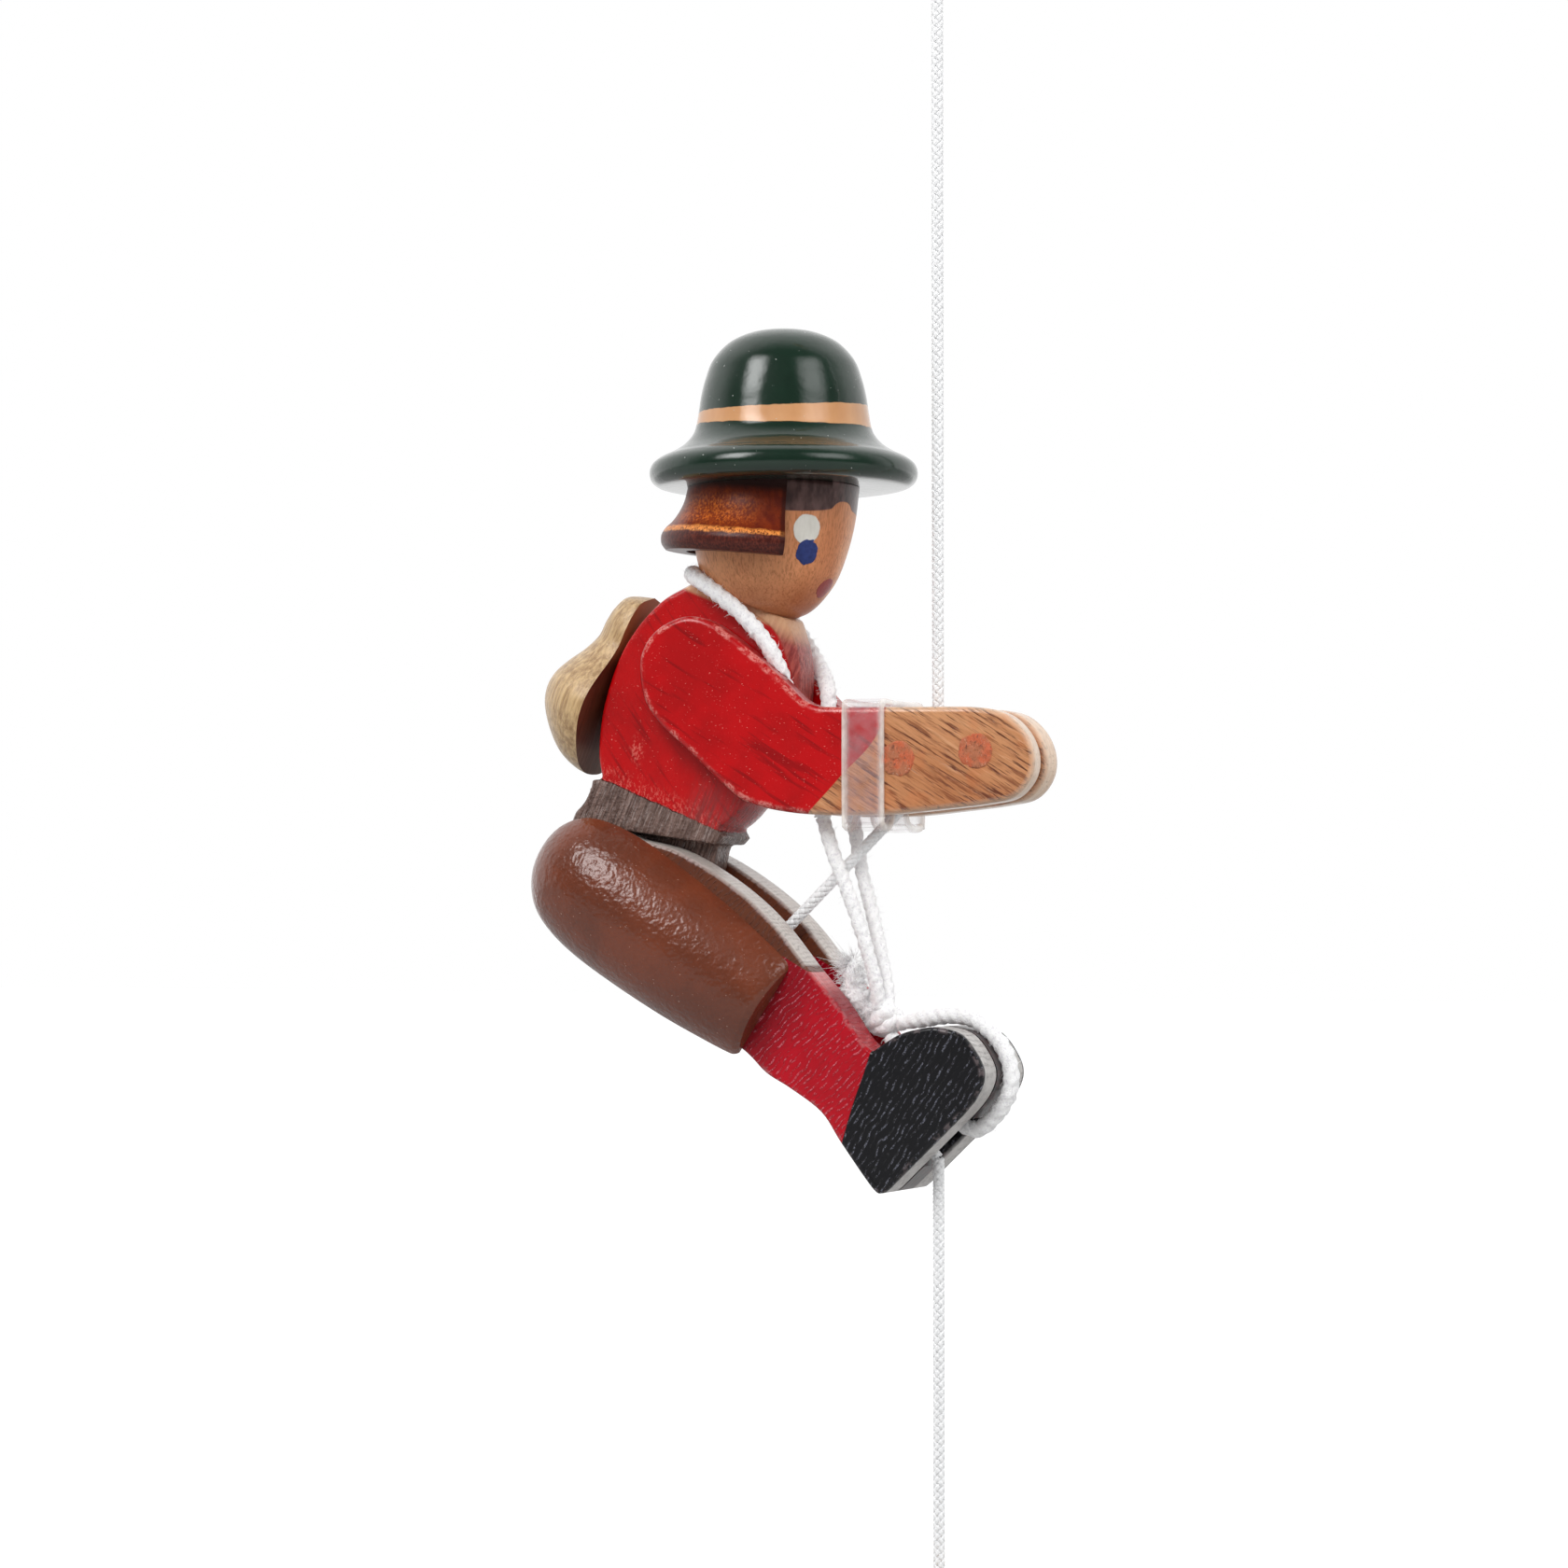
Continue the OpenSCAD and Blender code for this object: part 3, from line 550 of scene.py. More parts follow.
class Paint(Nodes):
    """One material. Places in its patterns are in millimetres in the part's frame.

    A mask is a value from 0 to 1, or (value, low, high) for a smooth step of the value.
    """

    def __init__(self, name, base, roughness, specular=0.5, coat=(0, 0.03), sheen=0, glow=0):
        """The coat is a weight and a roughness."""
        self.material = bpy.data.materials.new(name)
        self.material.use_nodes = True
        super().__init__(self.material.node_tree)
        self.shader = self.tree.nodes["Principled BSDF"]
        for label, value in {
            "Base Color": rgb(*base), "Roughness": roughness, "Specular IOR Level": specular,
            "Coat Weight": coat[0], "Coat Roughness": coat[1], "Sheen Weight": sheen,
            "Emission Color": (1, 1, 1, 1), "Emission Strength": glow,
        }.items():
            self.shader.inputs[label].default_value = value
        place = self.node("ShaderNodeTexCoord").outputs["Object"]
        self.where = self.vector("MULTIPLY", place, (1 / MM,) * 3)
        self.normal = None

    def along(self, place, towards):
        """The distance from a place of the side view along a direction."""
        return self.vector("DOT_PRODUCT", self.vector("SUBTRACT", self.where, spot(place)), towards)

    def noise(self, scale, stretch=(1, 1, 1), where=None, detail=2.0, roughness=0.55):
        made = self.node("ShaderNodeTexNoise")
        self.feed(made.inputs["Vector"], self.vector("MULTIPLY", where or self.where, stretch))
        made.inputs["Scale"].default_value = scale
        made.inputs["Detail"].default_value = detail
        made.inputs["Roughness"].default_value = roughness
        return made.outputs["Fac"]

    def wobble(self, reach, scale, stretch=(1, 1, 1), detail=2.0):
        """A slow change between -reach and reach."""
        return self.ramp(self.noise(scale, stretch, detail=detail), 0, 1, -reach, reach)

    def turned(self, angle):
        """Places turned in the side view, so that X runs along a grain with that slope."""
        made = self.node("ShaderNodeVectorRotate", rotation_type="Y_AXIS")
        self.feed(made.inputs["Vector"], self.where)
        made.inputs["Angle"].default_value = math.radians(angle)
        return made.outputs["Vector"]

    def graph(self, value, points):
        """The height at value of a smooth line through the points (place, height)."""
        places = [p for p, _ in points]
        heights = [h for _, h in points]
        low, high = min(heights) - 0.001, max(heights) + 0.001
        made = self.node("ShaderNodeFloatCurve")
        line = made.mapping.curves[0]
        for i, (place, height) in enumerate(points):
            x = (place - places[0]) / (places[-1] - places[0])
            y = (height - low) / (high - low)
            if i == 0 or i == len(points) - 1:
                line.points[0 if i == 0 else -1].location = (x, y)
            else:
                line.points.new(x, y)
        for point in line.points:
            point.handle_type = "AUTO_CLAMPED"
        made.mapping.update()
        self.feed(made.inputs["Value"], self.ramp(value, places[0], places[-1]))
        return self.ramp(made.outputs["Value"], 0, 1, low, high)

    def attribute(self, label):
        return self.node("ShaderNodeAttribute", attribute_name=label).outputs["Fac"]

    def product(self, *masks):
        """The product of masks and numbers."""
        values = [self.step(*mask) if isinstance(mask, tuple) else mask for mask in masks]
        result = values[0]
        for value in values[1:]:
            result = self.math("MULTIPLY", result, value)
        return result

    def most(self, *masks):
        """The greatest of several masks."""
        result = masks[0]
        for mask in masks[1:]:
            result = self.math("MAXIMUM", result, mask)
        return result

    def over(self, base, top, *masks):
        """The top colour over the base, as far as the product of the masks says."""
        made = self.node("ShaderNodeMix", data_type="RGBA")
        self.feed(made.inputs[0], self.product(*masks))
        for socket, value in zip(made.inputs[6:8], (base, top)):
            self.feed(socket, rgb(*value) if isinstance(value, tuple) else value)
        return made.outputs[2]

    def colour(self, value):
        self.feed(self.shader.inputs["Base Color"], value)

    def gloss(self, value):
        self.feed(self.shader.inputs["Roughness"], value)

    def bump(self, height, depth, coat=False):
        """Raises the surface by depth millimetres where height is 1."""
        made = self.node("ShaderNodeBump")
        made.inputs["Distance"].default_value = depth * MM
        self.feed(made.inputs["Height"], height)
        if self.normal is not None:
            self.feed(made.inputs["Normal"], self.normal)
        self.normal = made.outputs["Normal"]
        self.feed(self.shader.inputs["Normal"], self.normal)
        if coat:
            self.feed(self.shader.inputs["Coat Normal"], self.normal)


def pore_marks(p, where):
    """Dark pores along the X axis of where: 1 on a pore."""
    return p.step(p.noise(1.0, (0.12, 1.8, 2.6), where, detail=3, roughness=0.6), 0.57, 0.66)


def wood_colour(p, light, dark, pore, where, pores=1.0):
    """Plain wood: broad tone, fine fibres and dark pores along the X axis of where."""
    tone = p.noise(0.12, (0.3, 1, 1), where)
    fibres = p.noise(1.0, (0.2, 3, 4.5), where, detail=3)
    base = p.over(light, dark, (tone, 0.35, 0.65))
    base = p.over(base, pore, (fibres, 0.45, 0.75), 0.4)
    return p.over(base, pore, pore_marks(p, where), pores)


def plain_wood():
    p = Paint("plain_wood", (210, 170, 120), 0.55)
    p.colour(wood_colour(p, (222, 184, 136), (204, 160, 112), (150, 104, 62), p.turned(90), 0.4))
    p.bump(p.noise(2.5, (1, 1, 0.3)), 0.02)
    return p.material


def pin_wood():
    """End grain with pale and dark chips, under a thin varnish."""
    p = Paint("pin_wood", (206, 138, 106), 0.5, coat=(0.3, 0.3))
    patches = p.noise(0.55, detail=3)
    chips = p.noise(1.7, (1.5, 1, 0.8), detail=4, roughness=0.75)
    base = p.over((206, 124, 84), (226, 112, 68), (patches, 0.4, 0.62))
    base = p.over(base, (138, 76, 54), (chips, 0.54, 0.66))
    p.colour(p.over(base, (236, 184, 154), (chips, 0.4, 0.32)))
    p.bump(chips, 0.55, coat=True)
    return p.material


# Painted light: white cotton is given a little glow, which stands in for the light that scatters inside it.
COTTON_PAINTED_GLOW = 0.04


def string_white():
    p = Paint("string", (236, 236, 236), 0.75, sheen=0.15, glow=COTTON_PAINTED_GLOW)
    fibres = p.noise(6.0, (1, 1, 0.5), detail=1)
    p.colour(p.over((248, 248, 248), (234, 235, 237), fibres))
    p.bump(fibres, 0.05)
    return p.material


def elastic_white():
    p = Paint("elastic", (238, 238, 238), 0.9, sheen=0.3, glow=COTTON_PAINTED_GLOW)
    tufts = p.noise(2.2, detail=3, roughness=0.7)
    # The colour is darker where the tufts are low: painted shade in the crevices between them.
    p.colour(p.over((226, 224, 228), (252, 252, 252), (tufts, 0.3, 0.55)))
    p.bump(tufts, 0.2)
    return p.material


def hat_green():
    """Glossy green with a slightly wavy tan band."""
    p = Paint("green_paint", (22, 48, 34), 0.4, specular=0.1, coat=(1.0, 0.1))
    across = p.along(HAT_SEAT, (math.cos(CAMERA_TURN) / CROWN_R, math.sin(CAMERA_TURN) / CROWN_R, 0))
    level = p.add(p.along(HAT_SEAT, (0, 0, 1)), p.wobble(0.25, 0.35))
    bow = p.math("MULTIPLY", p.math("POWER", across, 2), 0.6)
    top = p.math("MULTIPLY_ADD", across, 0.55, p.add(bow, 10.65))
    foot = p.math("MULTIPLY_ADD", across, -0.3, p.add(bow, 8.1))
    band = p.product((p.minus(level, foot), -0.08, 0.08), (p.minus(top, level), -0.08, 0.08))
    green = p.over((14, 35, 24), (22, 48, 35), p.noise(0.25))
    tan = p.over((198, 140, 92), (214, 160, 112), p.noise(0.5, (1, 1, 0.4)))
    dust = (p.noise(2.3, detail=1), 0.775, 0.8)
    p.colour(p.over(p.over(green, tan, band), (190, 196, 190), dust))
    p.bump(p.noise(0.9, detail=1), 0.02, coat=True)
    p.bump(band, 0.06)
    return p.material


def head_axes(p):
    """The azimuth in degrees, 0 at the front, and the height on the tilted head."""
    ahead, up = leaning(HEAD_TILT)
    left = p.along(HEAD_FOOT, (0, 1, 0))
    azimuth = p.math("DEGREES", p.math("ARCTAN2", left, p.along(HEAD_FOOT, ahead)))
    return azimuth, p.along(HEAD_FOOT, up)


def oval(p, where, centre, half, ragged, scale=1.0):
    """A painted spot at an azimuth and height of the head: 1 inside."""
    squares = [
        p.math("POWER", p.math("DIVIDE", p.minus(value, middle), reach), 2)
        for value, middle, reach in zip(where, centre, half)
    ]
    size = p.math("SQRT", p.add(*squares))
    return p.step(p.add(size, p.wobble(ragged, scale)), 1.05, 0.97)


def face_wood():
    """Varnished beech with the painted fringe, eyes and mouth."""
    p = Paint("face_wood", (198, 144, 104), 0.42, specular=0.2, coat=(0.3, 0.25))
    azimuth, height = where = head_axes(p)
    skin = wood_colour(p, (226, 156, 108), (210, 134, 88), (146, 84, 50), p.turned(90), 0.35)
    chin = p.add(height, p.wobble(2.5, 0.35, (1, 1, 0.6)))
    skin = p.over(skin, (158, 88, 52), (chin, 7.5, 1.5), 0.6)
    lines = p.noise(1.0, (3.0, 3.0, 0.22), detail=3, roughness=0.6)
    skin = p.over(skin, (150, 86, 52), (lines, 0.48, 0.7), 0.5)
    border = p.graph(azimuth, [
        (-75, 15.5), (-52.4, 15.7), (-37.5, 16.0), (-22, 16.6), (-8, 17.9), (5, 16.8),
        (18, 16.5), (37, 16.0), (75, 15.5),
    ])
    fringe = p.step(p.minus(height, border), -0.1, 0.1)
    strands = p.noise(0.7, (1.2, 1.2, 0.6))
    colour = p.over(skin, p.over((66, 43, 41), (108, 80, 76), (strands, 0.3, 0.8)), fringe)
    mouth = oval(p, where, (0, 5.4), (12.5, 1.4), 0.15)
    colour = p.over(colour, p.over((138, 36, 40), (166, 72, 66), p.noise(1.2)), mouth)
    painted = p.most(fringe, mouth)
    for side in (-1, 1):
        white = oval(p, where, (39.3 * side, 13.3), (10.1, 2.15), 0.08)
        blue = oval(p, where, (36 * side, 10.1), (9.0, 1.8), 0.22, 1.2)
        brush = p.noise(1.0, (1.5, 1.5, 0.4))
        colour = p.over(colour, p.over((214, 210, 200), (240, 238, 230), brush), white)
        colour = p.over(colour, p.over((20, 32, 84), (48, 66, 134), p.noise(1.5)), blue)
        painted = p.most(painted, white, blue)
    p.colour(colour)
    p.gloss(p.ramp(painted, 0, 1, 0.42, 0.3))
    p.bump(p.math("MULTIPLY_ADD", lines, -0.3, p.noise(3.0, (1, 1, 0.3))), 0.035)
    p.bump(painted, 0.08)
    return p.material


def hair_stain():
    """Red-brown stain with orange flecks, and a bright line above a dark lip: the line is a painted highlight on the
    lip's ridge.
    """
    p = Paint("brown_stain", (84, 28, 14), 0.4, specular=0.1, coat=(0.3, 0.1))
    azimuth, height = head_axes(p)
    patches = p.noise(0.5, (1.6, 1.6, 0.7), detail=4, roughness=0.6)
    flecks = p.noise(2.5, (1.3, 1.3, 0.7), detail=3, roughness=0.75)
    body = p.over((98, 32, 20), (128, 48, 20), (patches, 0.3, 0.7))
    level = p.product((height, 12.2, 14), (height, 18.4, 15.4))
    middle = p.product(level, (azimuth, -160, -115), (azimuth, -66, -95))
    body = p.over(body, (164, 72, 20), middle, 0.35)
    body = p.over(body, (206, 104, 34), middle, (flecks, 0.48, 0.6))
    body = p.over(body, (64, 20, 10), (flecks, 0.44, 0.3), 0.6)
    lip = p.over((66, 24, 20), (104, 46, 34), (flecks, 0.42, 0.66))
    wave = p.add(height, p.wobble(0.35, 0.5))
    body = p.over(body, lip, (wave, 12.2, 11.6))
    # Painted highlight: a bright orange line along the top of the lip's roll.
    body = p.over(body, (240, 150, 72), (wave, 11.5, 11.9), (wave, 12.7, 12.2), (flecks, 0.36, 0.56))
    from_cut = p.math("ABSOLUTE", p.minus(azimuth, FACE_TURN - FACE_ANGLE / 2))
    body = p.over(body, (50, 18, 14), (from_cut, 3.6, 1.6), 0.75)
    # Painted shade: the hair turns dark at its top, right under the hat's brim.
    p.colour(p.over(body, (44, 18, 14), (height, 17.6, 19.0)))
    p.bump(flecks, 0.05, coat=True)
    return p.material


def red_specks(p, red, grain):
    """Red paint with faint darker grain and tiny pale specks, and its finest noise."""
    colour = p.over(red, (176, 3, 8), (p.noise(0.16, detail=3), 0.35, 0.7))
    lines = p.noise(1.0, (0.07, 0.8, 1.1), grain)
    colour = p.over(colour, (112, 2, 6), (lines, 0.56, 0.7), 0.55)
    fine = p.noise(3.4, roughness=0.7)
    colour = p.over(colour, (208, 26, 30), (fine, 0.56, 0.74), 0.2)
    specks = p.noise(2.6, (1, 1, 1.8))
    return p.over(colour, (238, 150, 140), (specks, 0.68, 0.74), 0.6), fine


def torso_red():
    """Red jacket, bare chest and collar, grey-brown pelvis with painted highlights on its ridges."""
    p = Paint("red_paint", (186, 8, 12), 0.4, specular=0.12, coat=(0.8, 0.14))
    ahead, up = leaning(TORSO_LEAN)
    height = p.along(WAIST, up)
    forward = p.along(WAIST, ahead)
    body_grain = p.turned(90 - TORSO_LEAN)
    jacket, fine = red_specks(p, (196, 2, 8), p.turned(-55))
    # A scuffed patch at the back of the waist, 1.5 mm wide and 3 mm high to each side
    scuff = (-45, 0, -128)
    from_scuff = p.vector("MULTIPLY", p.vector("SUBTRACT", p.where, scuff), (1 / 1.5, 0, 1 / 3))
    scuffed = p.step(p.vector("LENGTH", from_scuff), 1.0, 0.3)
    scratches = p.noise(1.0, (3, 3, 1.6), detail=3, roughness=0.7)
    shown = p.most(scuffed, p.product((height, 3.4, 0.4), 0.8))
    jacket = p.over(jacket, (236, 128, 116), shown, (scratches, 0.5, 0.62), 0.6)
    streaks = p.noise(1.0, (0.12, 2.2, 2.2), body_grain, detail=3, roughness=0.65)
    worn = p.product((height, 9.0, 2.0), (forward, 3.0, 7.0))
    jacket = p.over(jacket, (122, 40, 38), worn, (streaks, 0.35, 0.65), 0.75)
    bare_wood = p.over((236, 192, 150), (206, 140, 100), streaks)
    washed = p.over((178, 80, 70), (128, 36, 34), (streaks, 0.35, 0.65))
    bare = p.over(bare_wood, washed, (height, 31.2, 28.4))
    x, _, z = p.axes(p.where)
    border = p.graph(z, [
        (-125, -20.3), (-121.4, -20.9), (-117, -21.7), (-114.2, -22.6), (-111.3, -23.8),
        (-108.4, -27.2), (-105, -34),
    ])
    chest = p.step(p.minus(x, border), -0.25, 0.25)
    colour = p.over(jacket, bare, p.most(chest, p.step(height, 30.0, 30.6)))
    fibres = p.noise(1.0, (0.1, 3.0, 3.0), body_grain, detail=4, roughness=0.7)
    grey = p.over((78, 52, 43), (142, 114, 104), (fibres, 0.38, 0.66))
    grey = p.over(grey, (98, 74, 64), (p.noise(0.4), 0.45, 0.7), 0.5)
    # Painted highlights: pale flecks on the ridges of the pelvis's fibres.
    ridge_highlights = p.noise(1.0, (0.25, 2.6, 2.6), body_grain, detail=4, roughness=0.75)
    grey = p.over(grey, (178, 160, 154), (ridge_highlights, 0.52, 0.66), 0.6)
    pelvis = p.step(p.add(height, p.wobble(0.3, 1.0)), 0.15, -0.1)
    p.colour(p.over(colour, grey, pelvis))
    p.gloss(p.ramp(pelvis, 0, 1, 0.34, 0.5))
    p.bump(p.product(fibres, p.ramp(p.most(pelvis, chest, worn), 0, 1, 0.12, 1)), 0.3, coat=True)
    p.bump(p.product(p.noise(1.3, detail=3), pelvis), 0.5, coat=True)
    p.bump(fine, 0.03, coat=True)
    return p.material


def arm_red():
    """Red sleeve and bare wooden hand; the edges are worn, and their pale chips are also painted highlights on the
    rounding.
    """
    p = Paint("red_sleeve", (192, 8, 12), 0.4, specular=0.12, coat=(0.7, 0.14))
    grain = p.turned(-32)
    sleeve, fine = red_specks(p, (196, 2, 10), grain)
    rim, wall = p.attribute("rim"), p.attribute("wall")
    patches = p.noise(0.55, detail=3)
    sleeve = p.over(sleeve, (112, 4, 10), wall, 0.35)
    # Pale chips on the rounded edges: partly wear, partly painted highlights.
    sleeve = p.over(sleeve, (232, 150, 140), rim, (patches, 0.46, 0.6), (fine, 0.36, 0.56), 0.6)
    hand = wood_colour(p, (216, 156, 110), (194, 128, 84), (112, 62, 42), grain)
    bands = p.noise(1.0, (0.09, 1.3, 1.7), grain, detail=4, roughness=0.7)
    hand = p.over(hand, (128, 70, 46), (bands, 0.51, 0.63), 0.75)
    hand = p.over(hand, (232, 178, 136), (bands, 0.44, 0.3), 0.5)
    ends = p.noise(1.0, (0.15, 2.4, 0.15), detail=3)
    hand = p.over(hand, p.over((250, 232, 212), (214, 180, 150), ends), wall, 0.9)
    hand = p.over(hand, (212, 118, 66), (p.noise(0.18), 0.56, 0.68), 0.22)
    x, _, z = p.axes(p.where)
    border = p.graph(z, [
        (-144, -23), (-137.4, -16.7), (-132.8, -12.3), (-125, -5.7), (-122.6, -5.3), (-118, -5.0),
    ])
    is_hand = p.step(p.minus(x, border), -0.12, 0.12)
    p.colour(p.over(sleeve, hand, is_hand))
    p.gloss(p.ramp(is_hand, 0, 1, 0.36, 0.44))
    p.bump(p.product(pore_marks(p, grain), is_hand), -0.07)
    p.bump(fine, 0.02, coat=True)
    return p.material


def rows_of_dashes(p, angle, pitch):
    """Short raised dashes in rows with that slope: 1 on a dash."""
    place = p.turned(angle)
    across = p.add(p.axes(place)[2], p.wobble(0.9, 0.3, detail=1))
    wave = p.math("SINE", p.math("MULTIPLY", across, 2 * math.pi / pitch))
    pieces = p.noise(1.0, (0.9, 1.2, 2.2), place, detail=3, roughness=0.7)
    return p.product((wave, 0.0, 0.9), (pieces, 0.44, 0.6))


def leg_paint():
    """Brown thigh, crimson sock and black shoe on one board, with painted glare on the edges and painted glints on the
    dashes.
    """
    p = Paint("crimson_paint", (184, 4, 30), 0.4, specular=0.12, coat=(0.5, 0.12))
    down_leg, out_of_leg = leaning(THIGH_SLOPE)
    down = p.along(HIP, down_leg)
    front = p.along(HIP, out_of_leg)
    rim, wall = p.attribute("rim"), p.attribute("wall")
    sock_rows = rows_of_dashes(p, 42, 0.8)
    shoe_rows = rows_of_dashes(p, 57, 0.95)
    fine = p.noise(4.0)
    glint_speckle = p.step(fine, 0.36, 0.62)
    sock = p.over((192, 0, 28), (178, 0, 24), (p.noise(0.2), 0.3, 0.7))
    sock = p.over(sock, (112, 4, 22), (down, 39, 32.5), 0.6)
    # Painted highlights: pale glints on the raised dashes of the sock and the shoe.
    sock = p.over(sock, (240, 140, 156), (sock_rows, 0.3, 0.9), glint_speckle, 0.58)
    shoe = p.over((16, 16, 20), (138, 140, 156), (shoe_rows, 0.35, 0.95), glint_speckle, 0.6)
    brown = p.over((112, 62, 40), (92, 48, 34), p.noise(0.3))
    x, y, z = p.axes(p.where)
    border = p.graph(z, [
        (-186, -12), (-183.6, -11.3), (-178.3, -9.6), (-174.4, -8.1), (-171.5, -7.1), (-166, -5),
    ])
    is_shoe = p.step(p.minus(x, border), -0.1, 0.1)
    knee = p.graph(front, [(-14, 28.5), (7.8, 28.5), (8.3, 31), (8.8, 34.5), (10, 35), (14, 35)])
    is_thigh = p.step(p.minus(down, knee), 0.15, -0.15)
    # Painted reflections: the edge walls are greyish white, or pink on the sock, as glare of the bright surroundings.
    edge_glare_streaks = p.noise(1.0, (0.2, 2, 2), p.turned(-48), detail=3)
    shoe_edge_glare = p.over((236, 232, 228), (166, 162, 160), edge_glare_streaks)
    thigh_edge_glare = p.over((226, 220, 214), (172, 160, 152), edge_glare_streaks)
    shin_edge_glare = p.over((232, 170, 166), (196, 60, 72), edge_glare_streaks)
    sock_edge = p.over((136, 6, 26), shin_edge_glare, (down, 39, 36))
    outer = p.add(p.math("ABSOLUTE", y), p.wobble(0.3, 0.8))
    shoe = p.over(shoe, shoe_edge_glare, wall, (outer, 7.3, 6.9), 0.8)
    brown = p.over(brown, thigh_edge_glare, wall, (down, 33.4, 32.6))
    sock = p.over(sock, sock_edge, wall, (front, 4.0, 7.0), 0.9)
    colour = p.over(p.over(sock, shoe, is_shoe), brown, is_thigh)
    # Painted highlights: pale spots along the rounded edges.
    p.colour(p.over(colour, (190, 170, 172), rim, (p.noise(0.7, detail=3), 0.5, 0.64), 0.2))
    p.bump(p.over(sock_rows, shoe_rows, is_shoe), 0.12, coat=True)
    p.bump(fine, 0.02)
    return p.material


def thigh_brown():
    """Glossy brown with an orange-peel surface and painted glints."""
    p = Paint("brown_paint", (106, 58, 42), 0.45, specular=0.08, coat=(1.0, 0.18))
    colour = p.over((118, 57, 34), (102, 50, 31), (p.noise(0.1, detail=3), 0.35, 0.65))
    # Painted highlights: sparse pale glints over the brown.
    p.colour(p.over(colour, (190, 150, 132), (p.noise(2.4, detail=1), 0.72, 0.8), 0.5))
    p.bump(p.noise(1.15, detail=1.4), 0.15, coat=True)
    p.bump(p.noise(4.0, detail=1), 0.02)
    return p.material


def pack_gold():
    """Brushed gold-brown stain."""
    p = Paint("gold_stain", (190, 165, 115), 0.4, coat=(0.5, 0.2))
    brushed = p.noise(1.0, (0.12, 1.5, 1.5), p.turned(90 - PACK_LEAN), detail=4, roughness=0.65)
    grain = p.noise(3.0, (1, 1, 0.5))
    colour = p.over((156, 118, 72), (212, 178, 128), (brushed, 0.32, 0.68))
    p.colour(p.over(colour, (104, 78, 40), (grain, 0.55, 0.8), 0.35))
    p.bump(brushed, 0.2, coat=True)
    p.bump(grain, 0.03)
    return p.material


def pack_inside():
    """The backpack's flat side: gold at the top, brown, and grey at the foot."""
    p = Paint("gold_stain_flat", (84, 44, 28), 0.5)
    grain = p.noise(1.0, (0.15, 2, 2), p.turned(90 - PACK_LEAN), detail=3)
    z = p.axes(p.where)[2]
    grey = p.over((92, 72, 60), (150, 124, 104), grain)
    brown = p.over(p.over((66, 30, 20), (118, 66, 40), grain), grey, (z, -126, -129))
    p.colour(p.over(brown, (176, 134, 84), (z, -116, -112)))
    p.bump(grain, 0.04)
    return p.material


def black_paint():
    """Black with worn reddish patches."""
    p = Paint("black_paint", (24, 23, 25), 0.36, coat=(0.4, 0.2))
    tone = p.noise(1.2, detail=3)
    p.colour(p.over((22, 20, 22), (66, 28, 28), (tone, 0.4, 0.7)))
    p.bump(tone, 0.05)
    return p.material


def clear_band():
    """Soft clear plastic, milky at its cut edges; its pale haze and edges are also painted sheen and highlights."""
    p = Paint("clear_band", (238, 226, 218), 0.24, coat=(0.4, 0.15))
    edge = p.attribute("edge")
    haze = p.noise(0.6)
    # The pale colour and the haze in the alpha are partly milky plastic and partly painted sheen; the whiter cut edges
    # are also painted highlights.
    p.colour(p.over((222, 204, 210), (252, 244, 236), edge))
    milky_edge_and_highlight = p.product(edge, p.ramp(haze, 0.3, 0.7, 0.36, 0.62))
    p.feed(p.shader.inputs["Alpha"], p.most(p.ramp(haze, 0.3, 0.7, 0.05, 0.17), milky_edge_and_highlight))
    p.bump(haze, 0.08, coat=True)
    return p.material


PLAIN_WOOD = plain_wood()
STRING = string_white()
ELASTIC = elastic_white()
BLACK = black_paint()


def dress(piece, slot, body, *nodes):
    """Puts a piece on its body, in place of its CAD nodes. A blended piece has no one body."""
    if body:
        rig.ride(piece, body)
    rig.slot(piece, slot)
    if nodes:
        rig.replaces(piece, *nodes)
    return piece


def in_metres(path):
    return [tuple(p * MM) for p in path]


def braided_string(name, path):
    """A string of eight flat strands, four each way round, which pass over and under each other."""
    pitch, core, middle, swing, width, thickness = 4.6, 0.6, 0.62, 0.1, 0.74, 0.34
    line = resampled([Vector(p) for p in path], pitch / 16)
    step = (line[1] - line[0]).length
    places = frames_along(line)
    shape = Shape()
    shape.tube(line, lambda k, a, p: core, 8)
    for way in (1, -1):
        for strand in range(4):
            centres = []
            for k, (p, _, u, v) in enumerate(places):
                turn = 2 * math.pi * k * step / pitch
                out = around(way * turn + math.pi / 2 * strand, u, v)
                centres.append((p + (middle + way * swing * math.cos(4 * turn)) * out, out))
            rings = []
            for k, (c, out) in enumerate(centres):
                along = centres[min(k + 1, len(centres) - 1)][0] - centres[max(k - 1, 0)][0]
                across = along.normalized().cross(out)
                rings.append([
                    c + around(math.pi / 3 * i, width / 2 * across, thickness / 2 * out) for i in range(6)
                ])
            shape.rings(rings)
    return shape.piece(name, STRING)


def wound_knot(name, low, high):
    """A stopper knot: the string wound round itself."""
    turns, radius, steps = 2.6, 0.66, 60
    coil_r = (high - low) / 2 - radius
    line = []
    for t in [k / steps for k in range(steps + 1)]:
        a = 2 * math.pi * turns * t
        z = low + radius + (high - low - 2 * radius) * t
        line.append(Vector((coil_r * math.cos(a), coil_r * math.sin(a), z)))
    shape = Shape()
    shape.tube(line, lambda k, a, p: radius, 10)
    shape.tube([Vector((0, 0, low + 0.1)), Vector((0, 0, high))], lambda k, a, p: 0.8, 10)
    return shape.piece(name, STRING)


